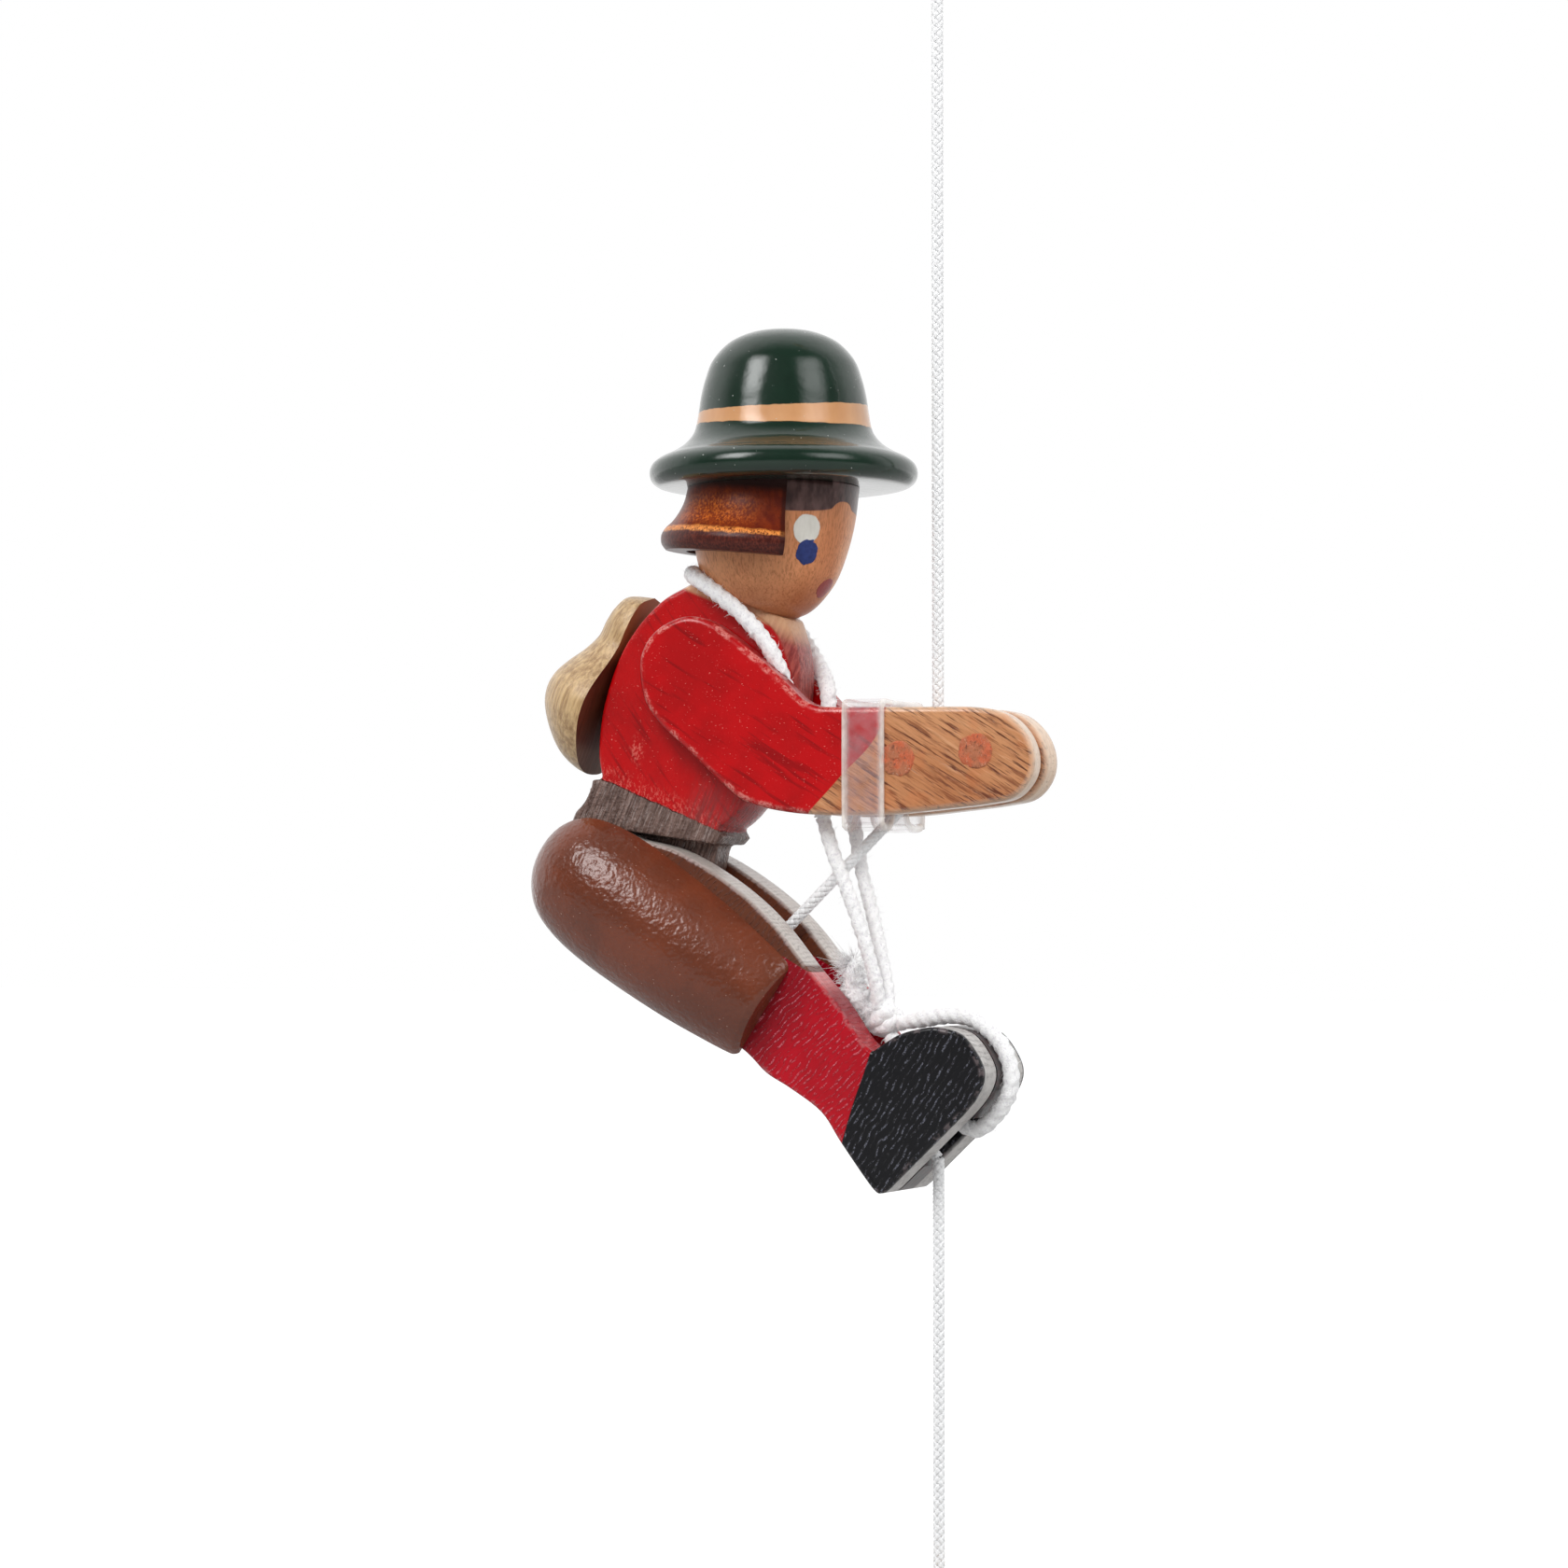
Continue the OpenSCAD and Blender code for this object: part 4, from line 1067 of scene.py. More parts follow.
# The string: loop and knot on the ring, upper stretch, bend at the hands, diagonal, legs, lower.
EYE_Z = -(RING_BORE_R + EYE_HOLE_R + EYE_WALL + 0.05)
LOOP_Z = EYE_Z - EYE_HOLE_R - EYE_WALL / 2
LOOP_R = math.hypot(EYE_WALL, EYE_DEPTH) / 2 + 0.1 + STRING_D / 2
KNOT_D = 2.2 * STRING_D
KNOT_LOW = LOOP_Z - LOOP_R - STRING_D / 2 - KNOT_D + 0.8
BEND_TOP = HAND_PIN.y + 4
BEND_R = HAND_PIN_R + STRING_D / 2 + CORD_GAP
PEG_BEND_R = PEG_R + STRING_D / 2 + CORD_GAP
LOWER_END = BEAD_Z - BEAD_R - 0.5

# The loop stands across the side view, so each place of its arc is a height and then a Y.
loop_path = [Vector((0, q.y, q.x)) for q in arc(Vector((LOOP_Z, 0)), LOOP_R, 180, 525, 40)]
ring_loop = dress(braided_string("ring_loop", loop_path), "string", "hanger", "ring_knot")
ring_stop = dress(wound_knot("ring_stop", KNOT_LOW, KNOT_LOW + KNOT_D), "string", "hanger")

upper_path = [Vector((0, 0, KNOT_LOW)), Vector((0, 0, BEND_TOP))]
upper = braided_string("upper_string", upper_path)
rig.blend(upper, "hanger", "string_bend", start=(0, 0, KNOT_LOW * MM), end=(0, 0, BEND_TOP * MM))
dress(upper, "string", None, "string_upper")

hand_line = [Vector((0, BEND_TOP))] + arc(HAND_PIN, BEND_R, 0, STRING_SLOPE - 90, 8)
hand_string = braided_string("hand_string", [spot(q) for q in hand_line])
dress(hand_string, "string", "string_bend", "string_hand")

diagonal_path = [spot(hand_line[-1]), spot(PEG + PEG_BEND_R * direction(90 + STRING_SLOPE))]
diagonal = braided_string("diagonal_string", diagonal_path)
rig.blend(diagonal, "figure", "legs", start=tuple(diagonal_path[0] * MM), end=tuple(diagonal_path[1] * MM))
dress(diagonal, "string", None, "string_diagonal")

exit_run = STRING_EXIT - PEG
exit_angle = math.degrees(math.atan2(exit_run.y, exit_run.x) - math.asin(PEG_BEND_R / exit_run.length))
leg_line = arc(PEG, PEG_BEND_R, 90 + STRING_SLOPE, exit_angle + 270, 10)
leg_line += [STRING_EXIT + Vector((-1.2, 1.1)), STRING_EXIT + Vector((-0.2, 0))]
leg_string = braided_string("leg_string", [spot(q) for q in leg_line])
dress(leg_string, "string", "legs", "string_legs")

foot_line = [spot(STRING_EXIT - Vector((0, d))) for d in (0.2, FOOT_STUB)]
foot_string = dress(braided_string("foot_string", foot_line), "string", "string_tail", "string_foot")

lower_path = [Vector((0, 0, STRING_EXIT.y - FOOT_STUB)), Vector((0, 0, LOWER_END))]
lower = braided_string("lower_string", lower_path)
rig.blend(lower, "string_tail", "pull", start=(0, 0, lower_path[0].z * MM), end=(0, 0, LOWER_END * MM))
dress(lower, "string", None, "string_lower")

bead_profile = [BEAD_R * direction(-78 + 156 * k / 40) for k in range(41)]
bead_profile += [(1.35, 7.05), (1.2, 6.6), (1.2, -6.6), (1.35, -7.05)]
bead = lathe("bead", bead_profile, Matrix.Translation((0, 0, BEAD_Z)), PLAIN_WOOD, 96)
dress(bead, "plain_wood", "pull", "pull_bead")
bead_stop = dress(wound_knot("bead_stop", LOWER_END - KNOT_D, LOWER_END), "string", "pull", "bead_knot")

# The elastic cord: neck loop, two strands, toe loop and knot
NECK_ROUTE = [
    (-17.2, -1.8, -138.1), (-17.2, -1.8, -133), (-19, -2.4, -127), (-20.8, -3.2, -122.5),
    (-22, -3.8, -119.5), (-22.9, -4.6, -116.5), (-24.4, -5.7, -113), (-27.6, -6.9, -108.9),
    (-32, -7.9, -105.1), (-36.2, -5.5, -102.8), (-38, 0, -102.3), (-36.2, 5.5, -102.8),
    (-32.4, 8.9, -104.8), (-28, 9.4, -108.1), (-24.6, 8.3, -112.1), (-21.3, 6.4, -116.1),
    (-19.6, 4.4, -118.1), (-18.5, 2.9, -119.5), (-18, 2.2, -122.1), (-16.9, 1.9, -126.1),
    (-15, 1.8, -132.1), (-14, 1.8, -138.1),
]
RIGHT_ROUTE = [
    (-17.2, -1.8, -138.1), (-15.5, -2.3, -142.7), (-14.3, -2.3, -145.7), (-12.8, -2.3, -149.4),
    (-11.2, -2.2, -153.8), (-10.3, -2, -156.7), (-9.1, -1.5, -161.6), (-8.9, -0.9, -165.4),
]
LEFT_ROUTE = [
    (-14, 1.8, -138.1), (-13.6, 2, -141), (-13, 2.3, -145.3), (-11.9, 2.3, -149.3), (-10.7, 2.2, -153.8),
    (-9.6, 1.9, -158.3), (-8.6, 1.4, -162.3), (-8, 0.8, -165.4),
]
TOE_ROUTE = [
    (-6.2, 0, -167.4), (-2, 0, -166.8), (2, 0, -166.3), (5.8, 0, -167), (9.4, 0, -170.1),
    (11, 0, -173.8), (10.7, 0, -177.2), (8.6, 0, -180.4), (5.9, 0, -182.3), (3.2, 0, -181.2),
    (0, 0, -177.4), (-3.4, 0, -174), (-6.6, 0, -170.5), (-7.6, 0, -169.3),
]
FRAYED_ROUTE = [
    (-9.5, -0.2, -166.4), (-11.2, -0.6, -165.2), (-12.4, -0.9, -163.3), (-12.9, -0.9, -161),
    (-13, -0.7, -159),
]
KNOT_CENTRE = Vector((-8.5, 0, -166.8))

# The cord's body under its fuzz: slack in the loops, and drawn thin in the two strands
SLACK_CORE, TAUT_CORE = 2.45, 2.1
# In the side view: the arms' upper edge, two places on the chest with its half width there,
# and where the chest ends
ARM_EDGE = ((-28.6, -112.3), (-21.8, -117.9), (-18.3, -121.2), (-12.7, -122.5))
CHEST_X = (-25.5, -17.5)
CHEST_HALF = (4.4, 1.5)
CHEST_END = -20.2
dice = random.Random(7)


def between(x, x_span, y_span):
    """The height at x of the straight line across a span."""
    t = (x - x_span[0]) / (x_span[1] - x_span[0])
    return y_span[0] + (y_span[1] - y_span[0]) * t


def arm_face(x):
    """How far an arm's inner face is from the middle plane."""
    return ARM_INNER + (FINGERTIP.x - x) * math.tan(ARM_SPLAY)


def squeezed(p):
    """The soft cord gives way between the chest and the arms."""
    for (x0, z0), (x1, z1) in zip(ARM_EDGE, ARM_EDGE[1:]):
        if x0 <= p.x < x1 and p.z < between(p.x, (x0, x1), (z0, z1)):
            side = 1 if p.y > 0 else -1
            least = between(p.x, CHEST_X, CHEST_HALF) + CORD_GAP if p.x < CHEST_END else 0
            p.y = side * min(max(abs(p.y), least), arm_face(p.x) - CORD_GAP)
    return p


def elastic_loop(label, path, body, node):
    """The cord and its fuzz as two pieces."""
    cover, hairs = Shape(), Shape()
    cover.terry(path, SLACK_CORE)
    hairs.fuzz(path, SLACK_CORE)
    piece = cover.piece(f"{label}_elastic", ELASTIC, squeezed)
    loose = hairs.piece(f"{label}_fuzz", ELASTIC, squeezed)
    return dress(piece, "elastic", body, node), dress(loose, "elastic", body)


neck_path = curve(NECK_ROUTE, 8)
neck, neck_fuzz = elastic_loop("neck", neck_path, "figure", "elastic_neck")
toe_path = curve(TOE_ROUTE, 8)
toe_loop, toe_fuzz = elastic_loop("toe", toe_path, "legs", "elastic_toe_loop")

strands = []
for side, route in (("right", RIGHT_ROUTE), ("left", LEFT_ROUTE)):
    path = curve(route, 8)
    shape = Shape()
    shape.terry(path, TAUT_CORE)
    shape.fuzz(path, TAUT_CORE)
    strand = shape.piece(f"elastic_{side}", ELASTIC)
    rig.blend(strand, "figure", "legs", start=tuple(path[0] * MM), end=tuple(path[-1] * MM))
    strands.append(dress(strand, "elastic", None, f"elastic_strand_{side}"))


def chance_direction(*spans):
    """A unit vector whose coordinates are drawn from the spans."""
    return Vector([dice.uniform(low, high) for low, high in spans]).normalized()


def instep_knot():
    """Three crossed turns of the cord, a thick frayed end and loose fibres."""
    shape = Shape()
    for tilt, radius, shift in ((25, 1.7, 0), (-35, 1.6, 0.5), (80, 1.4, -0.3)):
        turn = Matrix.Rotation(math.radians(tilt), 4, "X")
        turn = turn @ Matrix.Rotation(math.radians(tilt / 2), 4, "Z")
        loop = []
        for a in [math.radians(10 * k) for k in range(37)]:
            local = Vector((radius * math.cos(a) * 1.1, shift + 0.3 * math.sin(a), radius * math.sin(a)))
            loop.append(KNOT_CENTRE + turn @ local)
        shape.terry(loop, 2.2, 14)
    frayed = curve(FRAYED_ROUTE, 8)
    swell = [1.3, 1.6, 1.9, 2.0, 1.7, 1.0]
    line = resampled(frayed, 0.3)

    def radius_at(k, a, p):
        t = k / (len(line) - 1) * (len(swell) - 1)
        i = min(int(t), len(swell) - 2)
        base = swell[i] + (swell[i + 1] - swell[i]) * (t - i)
        on_side = Vector((math.cos(a), math.sin(a), 0)) * 1.5 + Vector((0, 0, 0.5 * k))
        return base * (0.82 + 0.4 * noise.noise(on_side) + 0.2 * noise.noise(p * 1.8))

    shape.tube(line, radius_at, 18)
    for _ in range(1300):
        start = frayed[dice.randrange(len(frayed))]
        aim = chance_direction((-1, 1), (-0.9, 0.6), (-1, 1))
        root = start + aim * dice.uniform(0.9, 2.1)
        shape.fibre(root, aim, dice.uniform(0.4, 1.2), 0.06)
    for _ in range(90):
        aim = chance_direction((-1.2, -0.1), (-0.5, 0.3), (-0.5, 0.7))
        shape.fibre(frayed[-1] + aim * 0.5, aim, dice.uniform(1.5, 3.6), 0.05)
    return shape.piece("instep_knot", ELASTIC)


knot = dress(instep_knot(), "elastic", "legs", "elastic_knot")

cord_facts = dict(stiffness="limp", lay="taut")
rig.cord(
    upper, exit=(0, 0, KNOT_LOW * MM), length=(KNOT_LOW - BEND_TOP) * MM, diameter=STRING_D * MM,
    far_end="object", path=in_metres(upper_path), with_pieces=[ring_loop, ring_stop, hand_string],
    **cord_facts
)
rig.cord(
    diagonal, exit=tuple(diagonal_path[0] * MM), length=(diagonal_path[1] - diagonal_path[0]).length * MM,
    diameter=STRING_D * MM, far_end="object", path=in_metres(diagonal_path), with_pieces=[leg_string],
    **cord_facts
)
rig.cord(
    lower, exit=tuple(lower_path[0] * MM), length=(lower_path[0].z - LOWER_END) * MM,
    diameter=STRING_D * MM, far_end="knot", path=in_metres(lower_path),
    with_pieces=[foot_string, bead, bead_stop], **cord_facts
)
loops = ((neck, neck_path, [neck_fuzz] + strands), (toe_loop, toe_path, [toe_fuzz, knot]))
for piece, path, others in loops:
    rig.cord(
        piece, exit=tuple(path[0] * MM), length=path_length(path) * MM, diameter=ELASTIC_D * MM,
        far_end="object", path=in_metres(path), with_pieces=others, **cord_facts
    )

# The hat
crown = [
    (0, HAT_H), (2.7, HAT_H - 0.1), (5.5, HAT_H - 0.7), (8.2, HAT_H - 2.1),
    (CROWN_R - 2.05, HAT_H - 4.5), (CROWN_R - 1, HAT_H - 7.2), (CROWN_R - 0.4, HAT_H - 9.6),
    (CROWN_R, HAT_H - 12.2), (CROWN_R + 0.4, HAT_H - 14.3), (CROWN_R + 1, 7.4),
    (CROWN_R + 2.2, 6.1), (BRIM_R - 3.2, 5), (BRIM_R - 1.5, 4.2), (BRIM_R - 0.4, 3.3),
    (BRIM_R, 2.1), (BRIM_R - 0.3, 0.95), (BRIM_R - 1.2, 0.2), (BRIM_R - 2.4, 0),
]
hat_profile = curve(crown, 6) + [(12.0, 0.02), (3, 0.02), (0, 0.02)]
hat = lathe("hat_turned", hat_profile, side_place(HAT_SEAT), hat_green(), 160)
dress(hat, "green_paint", "figure", "hat")

# The head and the hair, cut off under the hat; the collar cuts the head's foot.
head_place = side_place(HEAD_FOOT, HEAD_TILT)
below_hat = (spot(HAT_SEAT), (0, 0, 1))
above_collar = (spot(COLLAR_TOP), -Vector(leaning(TORSO_LEAN)[1]))
egg = [
    (0, 0), (3, 0.3), (5, 1), (6.9, 2.2), (HEAD_R - 3.4, 4.4), (HEAD_R - 1.9, 7.2),
    (HEAD_R - 0.85, 11), (HEAD_R - 0.2, 15), (HEAD_R, 19), (HEAD_R, 23),
]
head_profile = curve(egg, 6) + [(0, 23)]
head = lathe("head_turned", head_profile, head_place, face_wood(), 160, cuts=(below_hat, above_collar))
dress(head, "face_wood", "figure", "head")

HAIR_TOP_R = HEAD_R + 0.6
HAIR_INNER_R = HEAD_R + 0.08
flare = [
    (HAIR_LIP_R - 0.8, HAIR_LOW), (HAIR_LIP_R - 0.15, HAIR_LOW + 0.8), (HAIR_LIP_R, HAIR_LOW + 2),
    (HAIR_LIP_R - 0.5, HAIR_LOW + 3.1), (HAIR_LIP_R - 1.4, HAIR_LOW + 4.1),
    (HAIR_TOP_R + 1.1, HAIR_LOW + 5.4), (HAIR_TOP_R + 0.45, HAIR_LOW + 7),
    (HAIR_TOP_R + 0.1, HAIR_LOW + 9), (HAIR_TOP_R, HAIR_LOW + 11), (HAIR_TOP_R, HAIR_LOW + 14),
]
hair_profile = [(HAIR_INNER_R, HAIR_LOW)] + curve(flare, 5) + [(HAIR_INNER_R, HAIR_LOW + 14)]
hair = lathe(
    "hair_ring", hair_profile, head_place, hair_stain(), 110,
    start=FACE_TURN + FACE_ANGLE / 2, sweep=360.0 - FACE_ANGLE, cuts=(below_hat,)
)
bevel(hair, 0.28)
dress(hair, "brown_stain", "figure", "hair")


def softened_copy(name, node, material):
    """A copy of a CAD node's shape whose edges are rounded as paint rounds them."""
    source = frame["nodes"][node]
    mesh = source.data.copy()
    mesh.transform(source.matrix_world)
    mesh.materials.clear()
    obj = bpy.data.objects.new(name, mesh)
    scene.collection.objects.link(obj)
    remesh = obj.modifiers.new("remesh", "REMESH")
    remesh.mode = "VOXEL"
    remesh.voxel_size = 0.28 * MM
    relax = obj.modifiers.new("relax", "SMOOTH")
    relax.factor = 0.5
    relax.iterations = 5
    bpy.context.view_layer.update()
    shaped = bpy.data.meshes.new_from_object(obj.evaluated_get(bpy.context.evaluated_depsgraph_get()))
    obj.modifiers.clear()
    obj.data = shaped
    shaped.materials.clear()
    shaped.materials.append(material)
    shaped.shade_smooth()
    return obj


dress(softened_copy("torso_painted", "torso", torso_red()), "red_paint", "figure", "torso")

# The backpack is half a turned pear.
pear = [
    (0, -9.7), (PACK_R - 8, -9.4), (PACK_R - 5, -7.9), (PACK_R - 2.5, -5.3), (PACK_R - 0.6, -2.2),
    (PACK_R, 0.4), (PACK_R - 0.4, 2.8), (PACK_R - 1.7, 5.2), (PACK_R - 3.4, 7.6), (PACK_R - 4.7, 10.2),
    (PACK_R - 5, 12.6), (PACK_R - 5.6, 15), (PACK_R - 7, 17.1), (0, 18.2),
]
pack_place = side_place(PACK_FOOT, PACK_LEAN)
pack = lathe("pack_turned", curve(pear, 6), pack_place, pack_gold(), 96, start=90.0, sweep=180.0)
pack.data.materials.append(pack_inside())
flat_to = Vector(leaning(PACK_LEAN)[0])
for face in pack.data.polygons:
    if face.normal.dot(flat_to) > 0.99:
        face.material_index = 1
        face.use_smooth = False
bevel(pack, 0.35, angle=60)
dress(pack, "gold_stain", "figure", "backpack")

# The arms spread from the fingertips.
ARM_OUTLINE = [
    (-32.4, 21), (-35.5, 20.2), (-38, 18.5), (-39.6, 15.9), (-39.9, 12.9), (-39.2, 9.2), (-37, 5.8),
    (-32.7, 1.9), (-25.5, -4.6), (-22.5, -6.2), (-18.4, -7.2), (-12.8, -7.8), (-3, -7.9), (6, -7.2),
    (12.6, -6.5), (16.6, -5.6), (19, -3), (19.5, 0.2), (18.2, 3.5), (15.3, 6.1), (11, 7.1),
    (3, 7.3), (-9.3, 7.5), (-12.5, 7.7), (-14.9, 8.8), (-18.4, 12.1), (-25.2, 17.7), (-29, 20.2),
]
SPLAY = (
    Matrix.Translation((FINGERTIP.x, -ARM_INNER, 0))
    @ Matrix.Rotation(ARM_SPLAY, 4, "Z")
    @ Matrix.Translation((-FINGERTIP.x, ARM_INNER, 0))
)
MIRROR = Matrix.Diagonal((1, -1, 1, 1))
arm_material = arm_red()
arm_line = [p + HAND_PIN for p in curve(ARM_OUTLINE, 6, closed=True)]
for side, place in (("right", SPLAY), ("left", MIRROR @ SPLAY)):
    arm = rounded_board(f"sleeve_{side}", arm_line, -ARM_OUTER, -ARM_INNER, arm_material, 0.8, place)
    dress(arm, "red_paint", "figure", f"arm_{side}")


def hand_pin(name, centre, material):
    """A dowel whose rough ends stand just proud of the hands."""
    # Each row of an end gives its share of the radius and how far it stands out.
    rows = [(0.02 + 0.12 * k, 1) for k in range(7)] + [(0.86, 0.97), (0.97, 0.85), (1, 0.5)]
    sides = 56
    rings = []
    for end in (-1, 1):
        ends = []
        for share, height in rows:
            ring = []
            for a in [2 * math.pi * k / sides for k in range(sides)]:
                ragged = 1 + 0.07 * noise.noise(Vector((math.cos(a) * 2, math.sin(a) * 2, end * 3)))
                x = centre.x + HAND_PIN_R * share * ragged * math.cos(a)
                z = centre.y + HAND_PIN_R * share * ragged * math.sin(a)
                flush = arm_face(x) + ARM_T / math.cos(ARM_SPLAY)
                lumps = 0.2 * noise.noise(Vector((x * 1.4, end * 5, z * 1.4)))
                lumps += 0.12 * noise.noise(Vector((x * 4, end * 9, z * 3)))
                ring.append(Vector((x, end * (flush - 0.25 + 0.4 * height + lumps), z)))
            ends.append(ring)
        rings += ends if end < 0 else list(reversed(ends))
    shape = Shape()
    shape.rings(rings)
    return shape.piece(name, material)


pin_material = pin_wood()
for k, label in enumerate(("rear", "front")):
    pin = hand_pin(f"pin_{label}", HAND_PIN + k * HAND_PIN_STEP, pin_material)
    dress(pin, "pin_wood", "figure", f"hand_pin_{label}")

# The clear band round both wrists: its height above, below, and where it lifts between the arms
BAND_MIDDLE = HAND_PIN.x - 2.3 - BAND_W / 2
BAND_TOP, BAND_LOW, BAND_LIFT = HAND_PIN.y + 7.7, HAND_PIN.y - 9.3, HAND_PIN.y - 4.3
BAND_SIDE = ARM_OUTER + CORD_GAP
BAND_EDGE = 1.3


def band_section():
    """Places across the band and through it, with rounded edges."""
    corner_r = 0.35
    flat = BAND_W / 2 - BAND_EDGE
    section = []
    for side, face, start in ((1, 1, 0), (-1, 1, 90), (-1, -1, 180), (1, -1, 270)):
        inner = [(side * flat, 0.5 + face * 0.5)]
        corner = []
        for a in [math.radians(start + 30 * k) for k in range(4)]:
            s = side * (BAND_W / 2 - corner_r) + corner_r * math.cos(a)
            corner.append((s, 0.5 + face * 0.12 + 0.38 * math.sin(a)))
        section += corner + inner if side == face else inner + corner
    return section


def wrist_band(name, material):
    """A soft strip round both wrists. Its mask "edge" is 1 at its cut edges."""
    outer = BAND_SIDE + BAND_T
    inside = [
        (0, BAND_TOP - 0.1), (-BAND_SIDE + 1.2, BAND_TOP), (-BAND_SIDE + 0.3, BAND_TOP - 0.5),
        (-BAND_SIDE, BAND_TOP - 1.6), (-BAND_SIDE, BAND_LOW + 1.6), (-BAND_SIDE + 0.4, BAND_LOW + 0.4),
        (-BAND_SIDE + 1.3, BAND_LOW), (-1.5, BAND_LOW + 0.5), (-0.75, BAND_LOW + 1.5),
        (-0.6, BAND_LIFT - 1.5), (0, BAND_LIFT),
    ]
    outside = [
        (0, BAND_TOP - 0.1 + BAND_T), (-outer + 1.6, BAND_TOP + BAND_T),
        (-outer + 0.4, BAND_TOP + BAND_T - 0.6), (-outer, BAND_TOP - 1.2), (-outer, BAND_LOW + 1.2),
        (-outer + 0.5, BAND_LOW - BAND_T + 0.5), (-outer + 1.8, BAND_LOW - BAND_T),
        (-2.2, BAND_LOW - BAND_T + 0.1), (-0.7, BAND_LOW + 0.3), (-0.25, BAND_LOW + 1.6),
        (0, BAND_LIFT - BAND_T),
    ]
    section = band_section()
    half = list(zip(curve(inside, 5), curve(outside, 5)))
    points, edge = [], []
    for place, pairs in ((SPLAY, half), (MIRROR @ SPLAY, half[-2:0:-1])):
        for near, away in pairs:
            for s, t in section:
                q = near.lerp(away, t)
                points.append(place @ Vector((BAND_MIDDLE + s, q.x, q.y)))
                edge.append(max(0.0, min(1.0, abs(s) - BAND_W / 2 + BAND_EDGE)))
    count, sides = len(points) // len(section), len(section)
    faces = loft(count, sides)
    last = (count - 1) * sides
    faces += [(last + i, last + (i + 1) % sides, (i + 1) % sides, i) for i in range(sides)]
    obj = new_piece(name, points, faces, material)
    obj.data.attributes.new("edge", "FLOAT", "POINT").data.foreach_set("value", edge)
    edit(obj)
    return obj


dress(wrist_band("band_clear", clear_band()), "clear_band", "figure", "wrist_band")

# The legs, from the hip down the front and up the back
THIGH_FRONT = [
    (5.1, 7.8), (11.5, 6.2), (17.5, 3.2), (23.4, -0.8), (28.2, -5.2), (33.1, -11),
    (37.5, -15.8), (40.8, -20.5), (42.9, -22.5),
]
SHOE_TOP = [
    (42.9, -22.5), (46.7, -20.2), (50.2, -19.2), (53.1, -19), (56.6, -20.1), (59.1, -23.3),
    (59.8, -25.9), (58.7, -28.7), (56.6, -31.2),
]
HEEL_BACK = [
    (45.5, -41.7), (44.3, -42.4), (42.8, -41.6), (38.1, -35.5), (35, -31.2), (30.1, -27.9),
    (26.4, -25.8), (22.4, -22.3), (14, -17.6), (4, -12.6), (-5.1, -7.8),
]
# The round end behind the hip
LEG_END_R, LEG_END_ANGLES = 9.3, (229, 64)
leg_line = curve(THIGH_FRONT, 6) + curve(SHOE_TOP, 6)[1:] + curve(HEEL_BACK, 6)
leg_line += arc(Vector((0, 0)), LEG_END_R, *LEG_END_ANGLES, 22)
leg_line = [p + HIP for p in leg_line]
LEG_OUTER = LEG_INNER + LEG_T
leg_material = leg_paint()
for side, low, high in (("right", -LEG_OUTER, -LEG_INNER), ("left", LEG_INNER, LEG_OUTER)):
    leg = rounded_board(f"shin_{side}", leg_line, low, high, leg_material, 0.5)
    dress(leg, "crimson_paint", "legs", f"leg_{side}")

# Each thigh is the slice of a turned barrel.
THIGH_R = (THIGH_HALF**2 + THIGH_DEPTH**2) / (2 * THIGH_DEPTH)
barrel = [
    (0, -13.1), (THIGH_R * 0.3, -12.7), (THIGH_R * 0.6, -11.1), (THIGH_R * 0.83, -8),
    (THIGH_R * 0.95, -3.6), (THIGH_R, 2), (THIGH_R * 0.995, 10), (THIGH_R * 0.96, 18),
    (THIGH_R * 0.9, 25), (THIGH_R * 0.85, 29.6), (THIGH_R * 0.82, 30.7), (THIGH_R * 0.78, 31.2),
]
barrel_profile = curve(barrel, 6) + [(THIGH_R * 0.4, 31.2), (0, 31.2)]
thigh_material = thigh_brown()
for side, sign in (("right", -1), ("left", 1)):
    middle = side_place(HIP, 90 + THIGH_SLOPE, sign * (LEG_OUTER - THIGH_R + THIGH_DEPTH))
    glue_plane = ((0, sign * LEG_OUTER, 0), (0, -sign, 0))
    thigh = lathe(f"barrel_{side}", barrel_profile, middle, thigh_material, 144, cuts=(glue_plane,))
    bevel(thigh, 0.3, angle=40)
    dress(thigh, "brown_paint", "legs", f"thigh_{side}")

# The ring, dowels, peg and spacers keep their CAD shapes.
WOODEN = (
    "hanging_ring", "hat_dowel", "neck_dowel", "backpack_dowel", "shoulder_dowel", "hip_dowel",
    "string_peg",
)
for labels, material in ((WOODEN, PLAIN_WOOD), (("heel_spacer", "toe_spacer"), BLACK)):
    for label in labels:
        for slot in frame["nodes"][label].material_slots:
            slot.link = "OBJECT"
            slot.material = material


def pale_floor():
    """White for the camera and grey for light; mirrors see it brighter behind the figure."""
    material = bpy.data.materials.new("floor_pale")
    material.use_nodes = True
    material.node_tree.nodes.clear()
    n = Nodes(material.node_tree)
    rays = n.node("ShaderNodeLightPath").outputs
    behind = n.vector("DOT_PRODUCT", n.node("ShaderNodeNewGeometry").outputs["Position"], AWAY)
    mirrored = n.math("MULTIPLY", n.ramp(behind, 0.5, 1.4, 0.2, 1.0), rays["Is Glossy Ray"])
    seen = n.math("MAXIMUM", rays["Is Camera Ray"], mirrored)
    glow = n.node("ShaderNodeEmission")
    n.feed(glow.inputs["Strength"], n.math("MULTIPLY", seen, 0.86))
    diffuse = n.node("ShaderNodeBsdfDiffuse")
    n.feed(diffuse.inputs["Color"], (0.35, 0.35, 0.35, 1))
    both = n.node("ShaderNodeAddShader")
    n.feed(both.inputs[0], diffuse.outputs[0])
    n.feed(both.inputs[1], glow.outputs[0])
    n.feed(n.node("ShaderNodeOutputMaterial").inputs["Surface"], both.outputs[0])
    return material


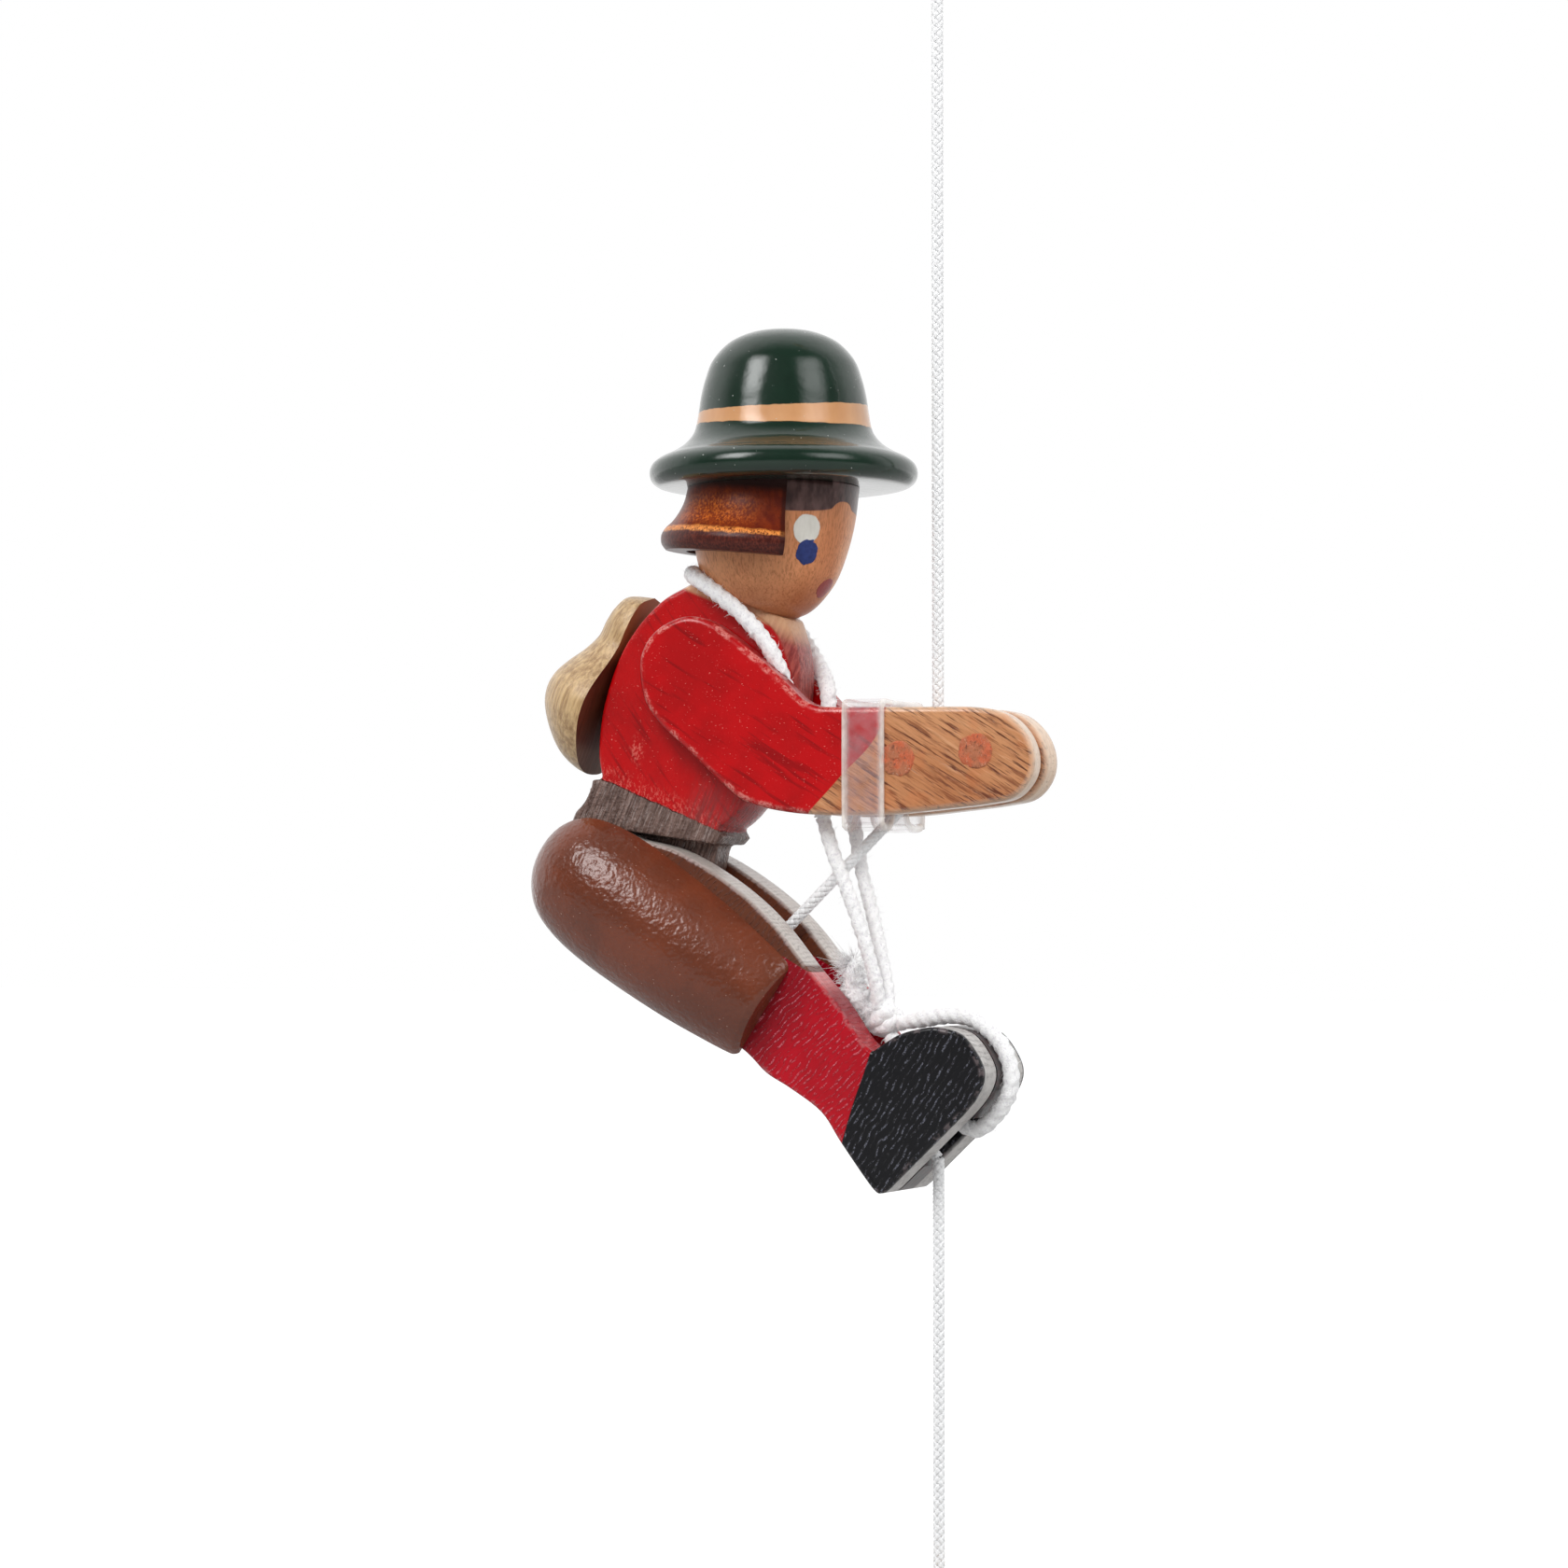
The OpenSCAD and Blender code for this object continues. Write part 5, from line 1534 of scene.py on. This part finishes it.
def white_world():
    """White for the camera; for light, bright behind the figure and dimmer in front of it."""
    world = bpy.data.worlds.new("world")
    scene.world = world
    world.use_nodes = True
    world.node_tree.nodes.clear()
    n = Nodes(world.node_tree)
    rays = n.node("ShaderNodeLightPath").outputs
    behind = n.vector("DOT_PRODUCT", n.node("ShaderNodeTexCoord").outputs["Generated"], AWAY)
    in_front = n.math("MULTIPLY_ADD", rays["Is Glossy Ray"], -0.38, 0.45)
    light = n.ramp(behind, -0.3, 0.3, in_front, 1.0, "SMOOTHSTEP")
    background = n.node("ShaderNodeBackground")
    n.feed(background.inputs["Color"], (1, 1, 1, 1))
    n.feed(background.inputs["Strength"], n.math("MAXIMUM", light, rays["Is Camera Ray"]))
    n.feed(n.node("ShaderNodeOutputWorld").inputs["Surface"], background.outputs[0])


FLOOR_Z = -0.3
FLOOR_REACH = 6000
corners = [(x * FLOOR_REACH, y * FLOOR_REACH, 0) for x, y in ((-1, -1), (1, -1), (1, 1), (-1, 1))]
floor = new_piece("floor", corners, [(0, 1, 2, 3)], pale_floor())
floor.location.z = FLOOR_Z
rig.stage(floor)
white_world()


def soften(data):
    """Lets a lamp fade towards its edges, so that it leaves no hard line in the paint."""
    data.use_nodes = True
    n = Nodes(data.node_tree)
    places = n.axes(n.node("ShaderNodeNewGeometry").outputs["Parametric"])
    fades = [n.ramp(n.math("PINGPONG", places[k], 0.5), 0, 0.42, kind="SMOOTHSTEP") for k in (0, 1)]
    n.feed(data.node_tree.nodes["Emission"].inputs["Strength"], n.math("MULTIPLY", *fades))


def softbox(name, azimuth, elevation, distance, width, height, power, in_mirrors):
    """A lamp at an azimuth from the camera's direction, positive to the right. It is seen only
    in mirrors, or only lights the colours."""
    angle = -math.pi / 2 + CAMERA_TURN + math.radians(azimuth)
    rise = math.radians(elevation)
    away = Vector((math.cos(angle) * math.cos(rise), math.sin(angle) * math.cos(rise), math.sin(rise)))
    data = bpy.data.lights.new(name, "AREA")
    data.shape = "RECTANGLE"
    data.size = width
    data.size_y = height
    data.energy = power
    if in_mirrors:
        soften(data)
    lamp = bpy.data.objects.new(name, data)
    scene.collection.objects.link(lamp)
    lamp.location = AIM + away * distance
    lamp.rotation_euler = away.to_track_quat("Z", "Y").to_euler()
    lamp.visible_diffuse = not in_mirrors
    lamp.visible_glossy = in_mirrors


softbox("key", -20, 40, 1.1, 0.7, 0.6, 8, False)
softbox("fill", 66, 8, 1.2, 0.6, 0.8, 4.2, False)
softbox("left", -100, 10, 1.2, 0.5, 0.8, 1.8, False)
softbox("left_strip", -47, 38, 1, 0.62, 0.85, 15, True)
softbox("right_strip", 45, 36, 1, 0.85, 0.85, 7, True)

visual_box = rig.bounds()
with open("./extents.json", "w") as file:
    json.dump({"cad": [list(c) for c in cad_box], "visual": [list(c) for c in visual_box]}, file)
